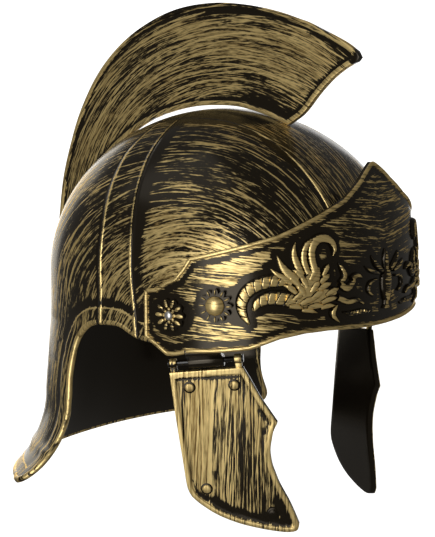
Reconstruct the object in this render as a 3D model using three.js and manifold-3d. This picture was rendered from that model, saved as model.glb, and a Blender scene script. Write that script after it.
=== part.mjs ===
// Helmet of a Roman legionary as moulded plastic costume armour: a skull with a flared neck
// guard, a tall crescent crest, a pointed brow band with relief, and two hinged cheek guards.
// Millimetres, +Z up, front towards -Y. The origin is the middle of the head opening at the
// level where the dome starts. The wearer's right side is -X.

import * as THREE from 'three';
import { mergeVertices } from 'three/addons/utils/BufferGeometryUtils.js';
import Module from 'manifold-3d';

const wasm = await Module();
wasm.setup();

// Skull
const skullHalfWidth = 98;
const skullHalfLength = 116;
const domeHeight = 107;
const planPower = 2.5;
const domePower = 1.98;
const wallThickness = 2.4;
const skullColumns = 72;
// Rings of the dome from crown to brow, and of the wall from brow to rim, as shares of each.
const domeRings = [0.97, 0.88, 0.76, 0.64, 0.52, 0.4, 0.26, 0.12, 0];
const wallRings = [-0.22, -0.42, -0.6, -0.7, -0.8, -0.88, -0.94, -0.99];

// Neck guard. The wall above it splays outwards from splayStart to flareStart.
const splayStart = -28;
const wallSplay = 8;
const flareStart = -74;
const neckRimSide = -117;
const neckRimBack = -127;
const neckHalfWidth = 142;
const neckReach = 130;
const neckShift = 8;
const neckPlanPower = 2.1;
const flarePower = 2.2;

// Face opening and ear arches, as seen from the side
const browRim = -12;
const browRimEnd = -72;
const footRim = -26;
const footRimStart = -40;
const footRimEnd = -14;
const archTop = -20;
const archBack = 50;
const archCentre = 14;
const archFlat = 12;
const archStep = 2;
const cornerSize = 16;

// Crest
const crestHeight = 66;
const crestToe = -23;
const crestPlate = 3;
const crestBorder = 4.4;
const crestBorderWidth = 5;

// Brow band
const bandWall = 3;
const bandPeak = 77;
const bandLower = 34;
const bandLean = 0.09;
const bandBead = 1.6;
const bandBeadWidth = 4;
const bandColumns = 68;
const bandRearAngle = 85;
const reliefHeight = 3;
const reliefSlope = 2;

// Rosettes and the rivets that hold the band
const rosetteRadius = 10.2;
const rearRosetteThickness = 2.2;
const frontRosetteThickness = 4.5;
const rosetteBossRadius = 4.6;
const rosetteBossHeight = 3.2;
const rearRosetteAngle = 77.4;
const rearRosetteLevel = -9.5;
const frontRosetteAngle = 63;
const frontRosetteLevel = -1.6;
const rivetRadius = 1.5;
const rivetHeadRadius = 2.7;
const rivetHeadHeight = 1.6;
const rivetTail = 3;
const petalCount = 10;
const petalDip = 0.16;
const starPoints = 12;
const starDip = 0.2;

// Cheek guards: width and drop of the plate below its hinge line
const guardReach = 55.2;
const guardDrop = 107.7;
const guardPlate = 2.8;
const guardBorder = 1.2;
const guardBorderWidth = 3.6;
const guardToeIn = 31;
const guardLean = 7.5;
const hingeTilt = 6;
const hingeInset = 15;
const hingeAhead = 0.414;
const hingeLevel = -37.8;
const hingeSide = skullHalfWidth - hingeInset;
const hingeForward = skullHalfLength * hingeAhead;
const knuckleSpan = 38.5;
const knuckleLength = 4;
const knuckleRadius = 2.9;
const tabLength = 9.3;
const tabThickness = 2.6;
const barrelStart = -10;
const barrelEnd = 11;
const barrelRadius = 3.9;
const lugReach = 11.2;
const lugRise = 11;
const lugRoot = 2.6;
const pinRadius = 1.6;
const pinHeadRadius = 2.5;
const pinHeadLength = 0.8;
const studRadius = 3.3;
const studHeight = 2.2;

// Clearances
const seatGap = 0.3;
const turnGap = 0.25;
const skinGap = 0.4;

// How deep an added feature is sunk into the piece it belongs to, and how far a cut runs over
const sunk = 0.5;
const cutMargin = 1;

// Sides of round pieces
const shaftSides = 14;
const rivetSides = 16;
const studSides = 12;

const toRadians = THREE.MathUtils.degToRad;

const materials = {
  black: { color: 0x17140f, roughness: 0.28, metalness: 0.1 },
  gold: { color: 0xa88a4c, roughness: 0.42, metalness: 0.75 },
  steel: { color: 0xb9b9b4, roughness: 0.3, metalness: 0.9 },
};

function signedVolume(geometry) {
  const index = geometry.index.array;
  const p = geometry.attributes.position;
  const [a, b, c] = [new THREE.Vector3(), new THREE.Vector3(), new THREE.Vector3()];
  let volume = 0;
  for (let i = 0; i < index.length; i += 3) {
    a.fromBufferAttribute(p, index[i]);
    b.fromBufferAttribute(p, index[i + 1]);
    c.fromBufferAttribute(p, index[i + 2]);
    volume += a.dot(b.cross(c)) / 6;
  }
  return volume;
}

function facesOut(geometry) {
  if (signedVolume(geometry) < 0) {
    const index = geometry.index.array;
    for (let i = 0; i < index.length; i += 3) {
      [index[i + 1], index[i + 2]] = [index[i + 2], index[i + 1]];
    }
  }
  return geometry;
}

function welded(geometry) {
  const bare = geometry.clone();
  bare.deleteAttribute('normal');
  bare.deleteAttribute('uv');
  return facesOut(mergeVertices(bare, 1e-4));
}

function toSolid(geometry) {
  const clean = welded(geometry);
  return new wasm.Manifold(new wasm.Mesh({
    numProp: 3,
    vertProperties: new Float32Array(clean.attributes.position.array),
    triVerts: new Uint32Array(clean.index.array),
  }));
}

function toGeometry(solid) {
  const mesh = solid.getMesh();
  const geometry = new THREE.BufferGeometry();
  geometry.setAttribute('position', new THREE.BufferAttribute(mesh.vertProperties, 3));
  geometry.setIndex(new THREE.BufferAttribute(mesh.triVerts, 1));
  return geometry;
}

// Skins a row of closed rings with the same number of points, and closes both ends.
function loft(rings) {
  const count = rings[0].length;
  const positions = rings.flat().flatMap((point) => point.toArray());
  const index = [];
  for (let r = 0; r < rings.length - 1; r += 1) {
    for (let i = 0; i < count; i += 1) {
      const j = (i + 1) % count;
      const [a, b] = [r * count + i, r * count + j];
      const [c, d] = [a + count, b + count];
      index.push(a, b, d, a, d, c);
    }
  }
  for (const [ring, flip] of [[0, true], [rings.length - 1, false]]) {
    const centre = new THREE.Vector3();
    rings[ring].forEach((point) => centre.add(point));
    centre.divideScalar(count);
    const tip = positions.length / 3;
    positions.push(...centre.toArray());
    for (let i = 0; i < count; i += 1) {
      const [a, b] = [ring * count + i, ring * count + (i + 1) % count];
      index.push(tip, flip ? b : a, flip ? a : b);
    }
  }
  const geometry = new THREE.BufferGeometry();
  geometry.setAttribute('position', new THREE.Float32BufferAttribute(positions, 3));
  geometry.setIndex(index);
  return facesOut(geometry);
}

function extruded(points, depth) {
  const shape = new THREE.Shape(points);
  return new THREE.ExtrudeGeometry(shape, { depth, bevelEnabled: false });
}

function cylinder(radius, length, sides = shaftSides) {
  return new THREE.CylinderGeometry(radius, radius, length, sides).rotateX(Math.PI / 2);
}

// A low dome on a flat base at z = 0, with its round side up.
function studHead(radius, height) {
  const steps = 3;
  const edge = height / 4;
  const profile = [new THREE.Vector2(0, 0), new THREE.Vector2(radius, 0)];
  for (let i = 0; i <= steps; i += 1) {
    const turn = (i / steps) * Math.PI / 2;
    const across = i === steps ? 0 : radius * Math.cos(turn);
    profile.push(new THREE.Vector2(across, edge + (height - edge) * Math.sin(turn)));
  }
  return new THREE.LatheGeometry(profile, studSides).rotateX(Math.PI / 2);
}

function mirrored(geometry) {
  return facesOut(welded(geometry.clone().scale(-1, 1, 1)));
}

function addMesh(parent, name, geometry, material) {
  const mesh = new THREE.Mesh(geometry, new THREE.MeshStandardMaterial(materials[material]));
  mesh.name = name;
  parent.add(mesh);
}

function signedPower(value, power) {
  return Math.sign(value) * Math.abs(value) ** power;
}

// A point of the plan curve. Angle 0 is the front (-Y), 90 the wearer's left (+X).
function planPoint(halfWidth, halfLength, power, angle) {
  return new THREE.Vector2(
    halfWidth * signedPower(Math.sin(angle), 2 / power),
    -halfLength * signedPower(Math.cos(angle), 2 / power),
  );
}

// The outside of the skull: height 1 to 0 runs from crown to brow, 0 to -1 down to the rim.
function skullPoint(angle, height) {
  const wall = planPoint(skullHalfWidth, skullHalfLength, planPower, angle);
  if (height >= 0) {
    const turn = height * Math.PI / 2;
    const level = domeHeight * Math.sin(turn) ** (2 / domePower);
    const share = Math.cos(turn) ** (2 / domePower);
    return new THREE.Vector3(wall.x * share, wall.y * share, level);
  }
  const rim = planPoint(neckHalfWidth, neckReach - neckShift, neckPlanPower, angle);
  rim.y += neckShift;
  const backness = Math.max(0, -Math.cos(angle));
  const rimLevel = THREE.MathUtils.lerp(neckRimSide, neckRimBack, backness);
  const level = rimLevel * -height;
  const flare = Math.max(0, (flareStart - level) / (flareStart - rimLevel)) ** flarePower;
  const splay = THREE.MathUtils.clamp((splayStart - level) / (splayStart - flareStart), 0, 1);
  wall.x *= 1 + splay * wallSplay / skullHalfWidth;
  return new THREE.Vector3(
    THREE.MathUtils.lerp(wall.x, rim.x, flare),
    THREE.MathUtils.lerp(wall.y, rim.y, flare),
    level,
  );
}

function skullNormal(angle, height) {
  const step = 0.002;
  const across = skullPoint(angle + step, height).sub(skullPoint(angle - step, height));
  const along = skullPoint(angle, height + step).sub(skullPoint(angle, height - step));
  return across.cross(along).normalize();
}

function skullRing(height, inset) {
  const ring = [];
  for (let i = 0; i < skullColumns; i += 1) {
    const angle = (i / skullColumns) * Math.PI * 2;
    ring.push(skullPoint(angle, height).addScaledVector(skullNormal(angle, height), -inset));
  }
  return ring;
}

function skullShell() {
  const heights = [...domeRings, ...wallRings];
  const outer = heights.map((height) => skullRing(height, 0));
  const inner = heights.map((height) => skullRing(height, wallThickness)).reverse();
  return loft([...outer, ...inner]);
}

// The rear half of the ear arch: shares of its width behind the centre and of its drop.
const archCurve = [
  { out: 0.417, down: 0.03 }, { out: 0.611, down: 0.09 }, { out: 0.79, down: 0.2 },
  { out: 0.917, down: 0.38 }, { out: 0.98, down: 0.7 },
];
// The corner of the neck guard below it, as shares of cornerSize.
const cornerCurve = [
  { back: 0.25, up: 0.5 }, { back: 0.51, up: 0.125 }, { back: 0.875, up: -0.156 },
  { back: 1.5, up: -0.44 }, { back: 3, up: -0.875 },
];

// What is cut away in front: the face, and an arch over each ear, in side view.
function faceOpening() {
  const reach = skullHalfLength + neckReach;
  const archWidth = archBack - archCentre;
  const points = [
    [-reach, browRim], [browRimEnd, browRim], [footRimStart, footRim], [footRimEnd, footRim],
    [archCentre - 1.5 * archFlat, footRim + archStep],
    [archCentre - 0.67 * archFlat, archTop], [archCentre + 0.33 * archFlat, archTop],
  ];
  for (const { out, down } of archCurve) {
    points.push([archCentre + archWidth * out, archTop + (flareStart - archTop) * down]);
  }
  points.push([archBack - 2 * cutMargin, flareStart]);
  points.push([archBack + cutMargin, flareStart - 1.5 * cornerSize]);
  for (const { back, up } of cornerCurve) {
    points.push([archBack + back * cornerSize, neckRimSide + up * cornerSize]);
  }
  points.push([archBack + 3.25 * cornerSize, -reach], [-reach, -reach]);
  const outline = points.map(([y, z]) => new THREE.Vector2(y, z));
  return extruded(outline, 2 * reach).rotateX(Math.PI / 2).rotateZ(Math.PI / 2)
    .translate(-reach, 0, 0);
}

// Distance from the origin to the dome in the middle plane; angle 0 is up, 90 the back.
function domeRadius(angle) {
  const across = Math.abs(Math.sin(angle)) / skullHalfLength;
  const up = Math.abs(Math.cos(angle)) / domeHeight;
  return (across ** domePower + up ** domePower) ** (-1 / domePower);
}

// Angle from straight up (back positive), gap under the crest, and its height over the dome
// as a share of crestHeight.
const crestArc = [
  { angle: -19, lift: 0, height: 0.955 }, { angle: -13, lift: 0.4, height: 0.965 },
  { angle: -5, lift: 1.2, height: 0.985 }, { angle: 4, lift: 1.6, height: 1.01 },
  { angle: 14, lift: 3.2, height: 1.025 }, { angle: 24, lift: 5.2, height: 1.005 },
  { angle: 33, lift: 7.6, height: 0.965 }, { angle: 42, lift: 9.6, height: 0.895 },
  { angle: 52, lift: 12.5, height: 0.79 }, { angle: 61, lift: 15.5, height: 0.695 },
  { angle: 69, lift: 17, height: 0.635 }, { angle: 77, lift: 15.5, height: 0.58 },
];
const crestHorn = [
  { angle: -26.5, height: 0 }, { angle: -29.2, height: 0.13 }, { angle: -30.3, height: 0.23 },
  { angle: -31.4, height: 0.43 }, { angle: -32.8, height: 0.62 }, { angle: -34.4, height: 0.77 },
  { angle: -35.8, height: 0.87 }, { angle: -35.9, height: 0.92 }, { angle: -34.6, height: 0.95 },
  { angle: -30.6, height: 0.955 }, { angle: -22, height: 0.955 },
];
const crestHeel = [
  { angle: 84, height: 0.55 }, { angle: 88, height: 0.42 }, { angle: 89, height: 0.25 },
  { angle: 88, height: 0 }, { angle: 83, height: 0 }, { angle: 81, height: 0.12 },
];

function crestPoint(angleDegrees, over) {
  const angle = toRadians(angleDegrees);
  const radius = domeRadius(angle) + over;
  return new THREE.Vector2(radius * Math.sin(angle), radius * Math.cos(angle));
}

function crestOutline() {
  const seat = ({ angle, height }) => crestPoint(angle, seatGap + height * crestHeight);
  const under = crestArc.map(({ angle, lift }) => crestPoint(angle, seatGap + lift)).reverse();
  return [
    ...crestHorn.map(seat),
    ...crestArc.map(seat),
    ...crestHeel.map(seat),
    ...under,
    crestPoint(crestToe, seatGap),
  ];
}

function distanceToOutline(point, outline) {
  const nearest = new THREE.Vector3();
  const place = new THREE.Vector3(point.x, point.y, 0);
  const edge = new THREE.Line3();
  return Math.min(...outline.map((start, i) => {
    const end = outline[(i + 1) % outline.length];
    edge.set(new THREE.Vector3(start.x, start.y, 0), new THREE.Vector3(end.x, end.y, 0));
    return edge.closestPointToPoint(place, true, nearest).distanceTo(place);
  }));
}

// Moves a closed outline inwards by the given width, and drops the points that would cross
// over in a tight corner.
function insetOutline(points, width) {
  const sharpest = 0.5;
  const nearEnough = 0.97 * width;
  const side = Math.sign(THREE.ShapeUtils.area(points));
  const moved = points.map((point, i) => {
    const before = points[(i + points.length - 1) % points.length];
    const after = points[(i + 1) % points.length];
    const into = point.clone().sub(before).normalize();
    const out = after.clone().sub(point).normalize();
    const normal = new THREE.Vector2(-(into.y + out.y), into.x + out.x).normalize();
    const spread = Math.max(sharpest, Math.abs(normal.dot(new THREE.Vector2(-out.y, out.x))));
    return point.clone().addScaledVector(normal, side * width / spread);
  });
  return moved.filter((point) => distanceToOutline(point, points) > nearEnough);
}

// A plate halfway through z = 0, with a thicker border round it.
function borderedPlate(outline, plate, border, borderWidth) {
  const slab = (points, depth) => toSolid(extruded(points, depth).translate(0, 0, -depth / 2));
  const hollow = slab(insetOutline(outline, borderWidth), border + 2 * cutMargin);
  return slab(outline, plate).add(slab(outline, border).subtract(hollow));
}

function crest() {
  const solid = borderedPlate(crestOutline(), crestPlate, crestBorder, crestBorderWidth);
  return toGeometry(solid).rotateX(Math.PI / 2).rotateZ(Math.PI / 2);
}

// Top and bottom edges along the plan angle from the front middle, as shares of bandPeak
// and bandLower.
const bandEdges = [
  { angle: 0, top: 1.0, bottom: 0.56 }, { angle: 7, top: 0.86, bottom: 0.55 },
  { angle: 15, top: 0.74, bottom: 0.52 }, { angle: 24, top: 0.66, bottom: 0.5 },
  { angle: 33, top: 0.58, bottom: 0.52 }, { angle: 42, top: 0.5, bottom: 0.6 },
  { angle: 52, top: 0.44, bottom: 0.78 }, { angle: 62, top: 0.38, bottom: 0.85 },
  { angle: 71.5, top: 0.32, bottom: 0.9 }, { angle: 73.5, top: 0.24, bottom: 0.93 },
  { angle: 76, top: 0.16, bottom: 0.97 }, { angle: 78.5, top: 0.13, bottom: 0.99 },
  { angle: 81.5, top: 0.07, bottom: 0.86 }, { angle: bandRearAngle, top: 0.05, bottom: 0.71 },
];

function bandEdge(angleDegrees) {
  const angle = Math.abs(angleDegrees);
  const next = Math.max(1, bandEdges.findIndex((row) => row.angle >= angle));
  const [a, b] = [bandEdges[next - 1], bandEdges[next]];
  const share = (angle - a.angle) / (b.angle - a.angle);
  return {
    top: bandPeak * THREE.MathUtils.lerp(a.top, b.top, share),
    bottom: -bandLower * THREE.MathUtils.lerp(a.bottom, b.bottom, share),
  };
}

// A point of the band at a distance outside its inner face.
function bandPoint(angleDegrees, level, outside) {
  const angle = toRadians(angleDegrees);
  const offset = skinGap + outside;
  const flat = planPoint(skullHalfWidth + offset, skullHalfLength + offset, planPower, angle);
  const lean = 1 - bandLean * (Math.max(0, level) / bandPeak) ** 2;
  return new THREE.Vector3(flat.x * lean, flat.y * lean, level);
}

function bandRing(angleDegrees) {
  const { top, bottom } = bandEdge(angleDegrees);
  const upper = top / 2;
  const rows = [
    [bottom, 0], [bottom, bandWall + bandBead / 2],
    [bottom + bandBeadWidth / 2, bandWall + bandBead],
    [bottom + bandBeadWidth, bandWall], [0, bandWall], [upper, bandWall],
    [Math.max(upper + cutMargin, top - bandBeadWidth), bandWall],
    [top - Math.min(bandBeadWidth, upper - cutMargin) / 2, bandWall + bandBead],
    [top, bandWall + bandBead / 2], [top, 0], [upper, 0], [0, 0],
  ];
  return rows.map(([level, outside]) => bandPoint(angleDegrees, level, outside));
}

// Raised ground of the relief: an urn in the middle and a winged beast on each side. Degrees
// round the plan, then the lower and upper edge as shares of bandLower and bandPeak.
const reliefPatches = [
  { from: -5, to: 5, low: [0.235, 0.294, 0.235], high: [0.312, 0.39, 0.312] },
  { from: 11, to: 27, low: [0.176, 0.235, 0.118], high: [0.442, 0.286, 0.312] },
  { from: 27, to: 43, low: [0.118, 0.235, 0.176], high: [0.26, 0.312, 0.182] },
];

function reliefPatch({ from, to, low, high }) {
  const foot = bandWall - cutMargin;
  const face = bandWall + reliefHeight;
  const rings = low.map((lowShare, i) => {
    const angle = THREE.MathUtils.lerp(from, to, i / (low.length - 1));
    const bottom = -lowShare * bandLower;
    const top = high[i] * bandPeak;
    const corners = [[bottom, foot], [bottom + reliefSlope, face]];
    corners.push([top - reliefSlope, face], [top, foot]);
    return corners.map(([level, outside]) => bandPoint(angle, level, outside));
  });
  return loft(rings);
}

// The right cheek guard's own frame: x forward along its hinge, y up, z out.
function guardFrame() {
  const toe = toRadians(guardToeIn);
  const lean = toRadians(guardLean);
  const forward = new THREE.Vector3(Math.sin(toe), -Math.cos(toe), 0);
  const outward = new THREE.Vector3(
    -Math.cos(toe) * Math.cos(lean),
    -Math.sin(toe) * Math.cos(lean),
    -Math.sin(lean),
  );
  const up = outward.clone().cross(forward);
  const matrix = new THREE.Matrix4().makeBasis(forward, up, outward);
  return matrix.setPosition(-hingeSide, -hingeForward, hingeLevel);
}

function alongHinge(geometry) {
  return geometry.rotateY(Math.PI / 2).rotateZ(toRadians(hingeTilt));
}

// The band's half of the hinge: a barrel under its lower edge, and the lug that carries it.
function hingeBarrel() {
  const length = barrelEnd - barrelStart;
  const middle = (barrelEnd + barrelStart) / 2;
  const barrel = toSolid(alongHinge(cylinder(barrelRadius, length).translate(0, 0, middle)));
  const arm = [
    new THREE.Vector2(-barrelRadius * 0.7, barrelRadius * 0.6),
    new THREE.Vector2(barrelRadius * 0.85, barrelRadius * 0.45),
    new THREE.Vector2(lugReach - 1.08 * lugRoot, lugRise - 1.92 * lugRoot),
    new THREE.Vector2(lugReach, lugRise - 1.38 * lugRoot),
    new THREE.Vector2(lugReach, lugRise),
    new THREE.Vector2(lugReach - 0.7 * lugRoot, lugRise),
    new THREE.Vector2(lugReach - lugRoot, lugRise - lugRoot),
  ];
  const web = extruded(arm, length).rotateY(Math.PI / 2).scale(1, 1, -1);
  web.translate(barrelStart, 0, 0).rotateZ(toRadians(hingeTilt));
  return barrel.add(toSolid(web));
}

function browBand() {
  const rings = [];
  for (let i = 0; i <= bandColumns; i += 1) {
    rings.push(bandRing(THREE.MathUtils.lerp(-bandRearAngle, bandRearAngle, i / bandColumns)));
  }
  let solid = toSolid(loft(rings));
  for (const patch of reliefPatches) {
    solid = solid.add(toSolid(reliefPatch(patch)));
    if (patch.from > 0) {
      solid = solid.add(toSolid(mirrored(reliefPatch(patch))));
    }
  }
  const bore = alongHinge(cylinder(pinRadius + turnGap, knuckleSpan));
  const hinge = toGeometry(hingeBarrel().subtract(toSolid(bore))).applyMatrix4(guardFrame());
  solid = solid.add(toSolid(hinge)).add(toSolid(mirrored(hinge)));
  return boredForRivets(solid);
}

// Where a rosette sits on the right side of the band: z out of its face.
function rosetteFrame(angleDegrees, level) {
  const place = bandPoint(-angleDegrees, level, bandWall + seatGap);
  const ahead = bandPoint(-angleDegrees + 1, level, bandWall + seatGap).sub(place).normalize();
  const outward = ahead.clone().cross(new THREE.Vector3(0, 0, 1)).normalize();
  if (outward.x > 0) {
    outward.negate();
  }
  const up = new THREE.Vector3(0, 0, 1);
  const matrix = new THREE.Matrix4().makeBasis(up.clone().cross(outward), up, outward);
  return matrix.setPosition(place);
}

function boredForRivets(solid) {
  const length = 4 * (bandWall + wallThickness);
  const bore = cylinder(rivetRadius + seatGap, length)
    .applyMatrix4(rosetteFrame(rearRosetteAngle, rearRosetteLevel));
  return solid.subtract(toSolid(bore)).subtract(toSolid(mirrored(bore)));
}

function rosetteOutline(points, dip) {
  const outline = [];
  const steps = 4 * points;
  for (let i = 0; i < steps; i += 1) {
    const turn = (i / steps) * Math.PI * 2;
    const wave = Math.abs(Math.cos(turn * points / 2));
    const radius = rosetteRadius * (1 - dip * (1 - wave));
    outline.push(new THREE.Vector2(radius * Math.cos(turn), radius * Math.sin(turn)));
  }
  return outline;
}

function rearRosette() {
  const petals = toSolid(extruded(rosetteOutline(petalCount, petalDip), rearRosetteThickness));
  const bore = toSolid(cylinder(rivetRadius + seatGap, 4 * rearRosetteThickness));
  return toGeometry(petals.subtract(bore))
    .applyMatrix4(rosetteFrame(rearRosetteAngle, rearRosetteLevel));
}

function frontRosette() {
  const star = toSolid(extruded(rosetteOutline(starPoints, starDip), frontRosetteThickness));
  const boss = studHead(rosetteBossRadius, rosetteBossHeight)
    .translate(0, 0, frontRosetteThickness - sunk);
  return toGeometry(star.add(toSolid(boss)))
    .applyMatrix4(rosetteFrame(frontRosetteAngle, frontRosetteLevel));
}

function bandRivet() {
  const shankLength = rearRosetteThickness + bandWall + wallThickness + rivetTail;
  const shank = cylinder(rivetRadius, shankLength, rivetSides)
    .translate(0, 0, rearRosetteThickness + seatGap + sunk - shankLength / 2);
  const head = studHead(rivetHeadRadius, rivetHeadHeight)
    .translate(0, 0, rearRosetteThickness + seatGap);
  return toGeometry(toSolid(shank).add(toSolid(head)))
    .applyMatrix4(rosetteFrame(rearRosetteAngle, rearRosetteLevel));
}

// The plate's outline from its top rear corner, forward and round: shares of guardReach
// ahead of the hinge's middle and of guardDrop below it.
const guardOutline = [
  { ahead: -0.39, down: 0.07 }, { ahead: 0.4, down: 0.028 }, { ahead: 0.49, down: 0.11 },
  { ahead: 0.58, down: 0.197 }, { ahead: 0.68, down: 0.278 }, { ahead: 0.765, down: 0.345 },
  { ahead: 0.725, down: 0.39 }, { ahead: 0.705, down: 0.44 }, { ahead: 0.687, down: 0.516 },
  { ahead: 0.708, down: 0.598 }, { ahead: 0.745, down: 0.655 }, { ahead: 0.783, down: 0.707 },
  { ahead: 0.845, down: 0.77 }, { ahead: 0.89, down: 0.814 }, { ahead: 0.95, down: 0.885 },
  { ahead: 1.0, down: 0.951 }, { ahead: 0.98, down: 0.985 }, { ahead: 0.92, down: 0.998 },
  { ahead: 0.813, down: 1.0 }, { ahead: 0.6, down: 0.987 }, { ahead: 0.341, down: 0.958 },
  { ahead: 0.11, down: 0.912 }, { ahead: -0.069, down: 0.854 }, { ahead: -0.172, down: 0.808 },
  { ahead: -0.225, down: 0.747 }, { ahead: -0.27, down: 0.576 }, { ahead: -0.333, down: 0.329 },
  { ahead: -0.377, down: 0.122 },
];
const guardStuds = [
  { ahead: -0.176, down: 0.152 }, { ahead: 0.306, down: 0.13 },
  { ahead: -0.011, down: 0.755 }, { ahead: 0.714, down: 0.89 },
];

function guardPoint({ ahead, down }) {
  return new THREE.Vector2(ahead * guardReach, -down * guardDrop);
}

function cheekGuard() {
  const outline = guardOutline.map(guardPoint);
  const thick = guardPlate + guardBorder;
  let solid = borderedPlate(outline, guardPlate, thick, guardBorderWidth);
  for (const stud of guardStuds) {
    const { x, y } = guardPoint(stud);
    const head = studHead(studRadius, studHeight).translate(x, y, guardPlate / 2 - sunk);
    solid = solid.add(toSolid(head));
  }
  const bore = toSolid(alongHinge(cylinder(pinRadius + turnGap, 2 * knuckleSpan)));
  for (const side of [-1, 1]) {
    const place = side * knuckleSpan / 2;
    const ring = alongHinge(cylinder(knuckleRadius, knuckleLength).translate(0, 0, place));
    const tab = new THREE.BoxGeometry(knuckleLength, tabLength, tabThickness);
    tab.translate(place, -tabLength / 2, 0).rotateZ(toRadians(hingeTilt));
    solid = solid.add(toSolid(ring)).add(toSolid(tab));
  }
  return toGeometry(solid.subtract(bore)).applyMatrix4(guardFrame());
}

function hingePin() {
  const length = knuckleSpan + knuckleLength + 2 * seatGap;
  let solid = toSolid(alongHinge(cylinder(pinRadius, length + 2 * sunk)));
  for (const side of [-1, 1]) {
    const place = side * (length + pinHeadLength) / 2;
    const head = cylinder(pinHeadRadius, pinHeadLength).translate(0, 0, place);
    solid = solid.add(toSolid(alongHinge(head)));
  }
  return toGeometry(solid).applyMatrix4(guardFrame());
}

function addPair(parent, name, geometry, material) {
  addMesh(parent, `${name}_right`, geometry, material);
  addMesh(parent, `${name}_left`, mirrored(geometry), material);
}

const helmet = new THREE.Group();
helmet.name = 'legionary_helmet';

const opened = toSolid(skullShell()).subtract(toSolid(faceOpening()));
addMesh(helmet, 'skull_shell', toGeometry(boredForRivets(opened)), 'black');
addMesh(helmet, 'crest', crest(), 'gold');
addMesh(helmet, 'brow_band', toGeometry(browBand()), 'gold');
addPair(helmet, 'rosette_rear', rearRosette(), 'gold');
addPair(helmet, 'rosette_front', frontRosette(), 'gold');
addPair(helmet, 'band_rivet', bandRivet(), 'steel');
addPair(helmet, 'cheek_guard', cheekGuard(), 'gold');
addPair(helmet, 'hinge_pin', hingePin(), 'black');

export default helmet;
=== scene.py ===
import math

import bmesh
import bpy
import numpy as np
from mathutils import Matrix, Vector


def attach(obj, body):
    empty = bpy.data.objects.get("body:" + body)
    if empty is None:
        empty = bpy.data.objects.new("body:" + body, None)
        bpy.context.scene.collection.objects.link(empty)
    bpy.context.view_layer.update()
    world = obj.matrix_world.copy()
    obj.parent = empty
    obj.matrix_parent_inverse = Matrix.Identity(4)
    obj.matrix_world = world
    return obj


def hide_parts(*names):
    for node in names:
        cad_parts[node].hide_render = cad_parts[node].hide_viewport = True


# Legionary helmet: black moulded plastic, dry-brushed with matte gold.
# Metres, front towards -Y, the wearer's right side towards -X.

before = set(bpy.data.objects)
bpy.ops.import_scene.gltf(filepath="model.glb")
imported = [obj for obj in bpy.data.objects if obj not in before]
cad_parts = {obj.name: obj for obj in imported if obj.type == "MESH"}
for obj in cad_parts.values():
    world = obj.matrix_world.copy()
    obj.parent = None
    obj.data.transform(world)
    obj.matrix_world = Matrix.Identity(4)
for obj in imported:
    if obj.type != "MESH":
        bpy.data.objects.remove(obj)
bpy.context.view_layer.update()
print("frame loaded")


# helpers

def deselectAll():
    if bpy.context.object and bpy.context.object.mode != "OBJECT":
        bpy.ops.object.mode_set(mode="OBJECT")
    bpy.ops.object.select_all(action="DESELECT")


def makeActive(piece):
    deselectAll()
    piece.select_set(True)
    bpy.context.view_layer.objects.active = piece


def meshPiece(name, points, faces):
    mesh = bpy.data.meshes.new(name)
    mesh.from_pydata([tuple(map(float, p)) for p in points], [], [tuple(f) for f in faces])
    mesh.validate()
    piece = bpy.data.objects.new(name, mesh)
    bpy.context.collection.objects.link(piece)
    makeActive(piece)
    bpy.ops.object.mode_set(mode="EDIT")
    bpy.ops.mesh.select_all(action="SELECT")
    bpy.ops.mesh.remove_doubles(threshold=1e-6)
    bpy.ops.mesh.normals_make_consistent(inside=False)
    bpy.ops.object.mode_set(mode="OBJECT")
    return piece


def joinInto(name, pieces):
    deselectAll()
    for piece in pieces:
        piece.select_set(True)
    bpy.context.view_layer.objects.active = pieces[0]
    bpy.ops.object.join()
    joined = bpy.context.object
    joined.name = name
    joined.data.name = name
    bpy.ops.object.transform_apply(location=True, rotation=True, scale=True)
    return joined


def smooth(piece, degrees=35):
    makeActive(piece)
    bpy.ops.object.shade_smooth_by_angle(angle=math.radians(degrees))


def bevelled(piece, width, segments=2, limit=30):
    makeActive(piece)
    soft = piece.modifiers.new("bevel", "BEVEL")
    soft.width = width
    soft.segments = segments
    soft.limit_method = "ANGLE"
    soft.angle_limit = math.radians(limit)
    bpy.ops.object.modifier_apply(modifier=soft.name)


def mirroredCopy(piece, name):
    copy = piece.copy()
    copy.data = piece.data.copy()
    copy.name = name
    copy.data.name = name
    bpy.context.collection.objects.link(copy)
    copy.data.transform(Matrix.Scale(-1, 4, Vector((1, 0, 0))))
    copy.data.flip_normals()
    return copy


def gridFaces(columns, rows, closedColumns=False, closedRows=False):
    faces = []
    for i in range(columns if closedColumns else columns - 1):
        for j in range(rows if closedRows else rows - 1):
            a = i * rows + j
            b = ((i + 1) % columns) * rows + j
            c = ((i + 1) % columns) * rows + (j + 1) % rows
            d = i * rows + (j + 1) % rows
            faces.append((a, b, c, d))
    return faces


# A rounded bead along a path; outward gives each point's direction away from the wall.
def tube(name, path, outward, radius, flatten, closed=False, sides=12):
    path = np.array(path)
    outward = np.array(outward)
    if closed:
        forward = np.roll(path, -1, 0) - np.roll(path, 1, 0)
    else:
        forward = np.gradient(path, axis=0)
    forward /= np.linalg.norm(forward, axis=1)[:, None]
    across = np.cross(forward, outward)
    across /= np.linalg.norm(across, axis=1)[:, None]
    up = np.cross(across, forward)
    turns = np.linspace(0, 2 * math.pi, sides, endpoint=False)
    points = [p + radius * (math.cos(t) * a + flatten * math.sin(t) * u)
              for p, a, u in zip(path, across, up) for t in turns]
    faces = gridFaces(len(path), sides, closedColumns=closed, closedRows=True)
    if not closed:
        faces.append(tuple(range(sides)))
        faces.append(tuple(range((len(path) - 1) * sides, len(path) * sides)))
    return meshPiece(name, points, faces)


def setFloat(piece, name, values):
    layer = piece.data.attributes.get(name) or piece.data.attributes.new(name, "FLOAT", "POINT")
    layer.data.foreach_set("value", np.asarray(values, dtype=np.float32))


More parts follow.
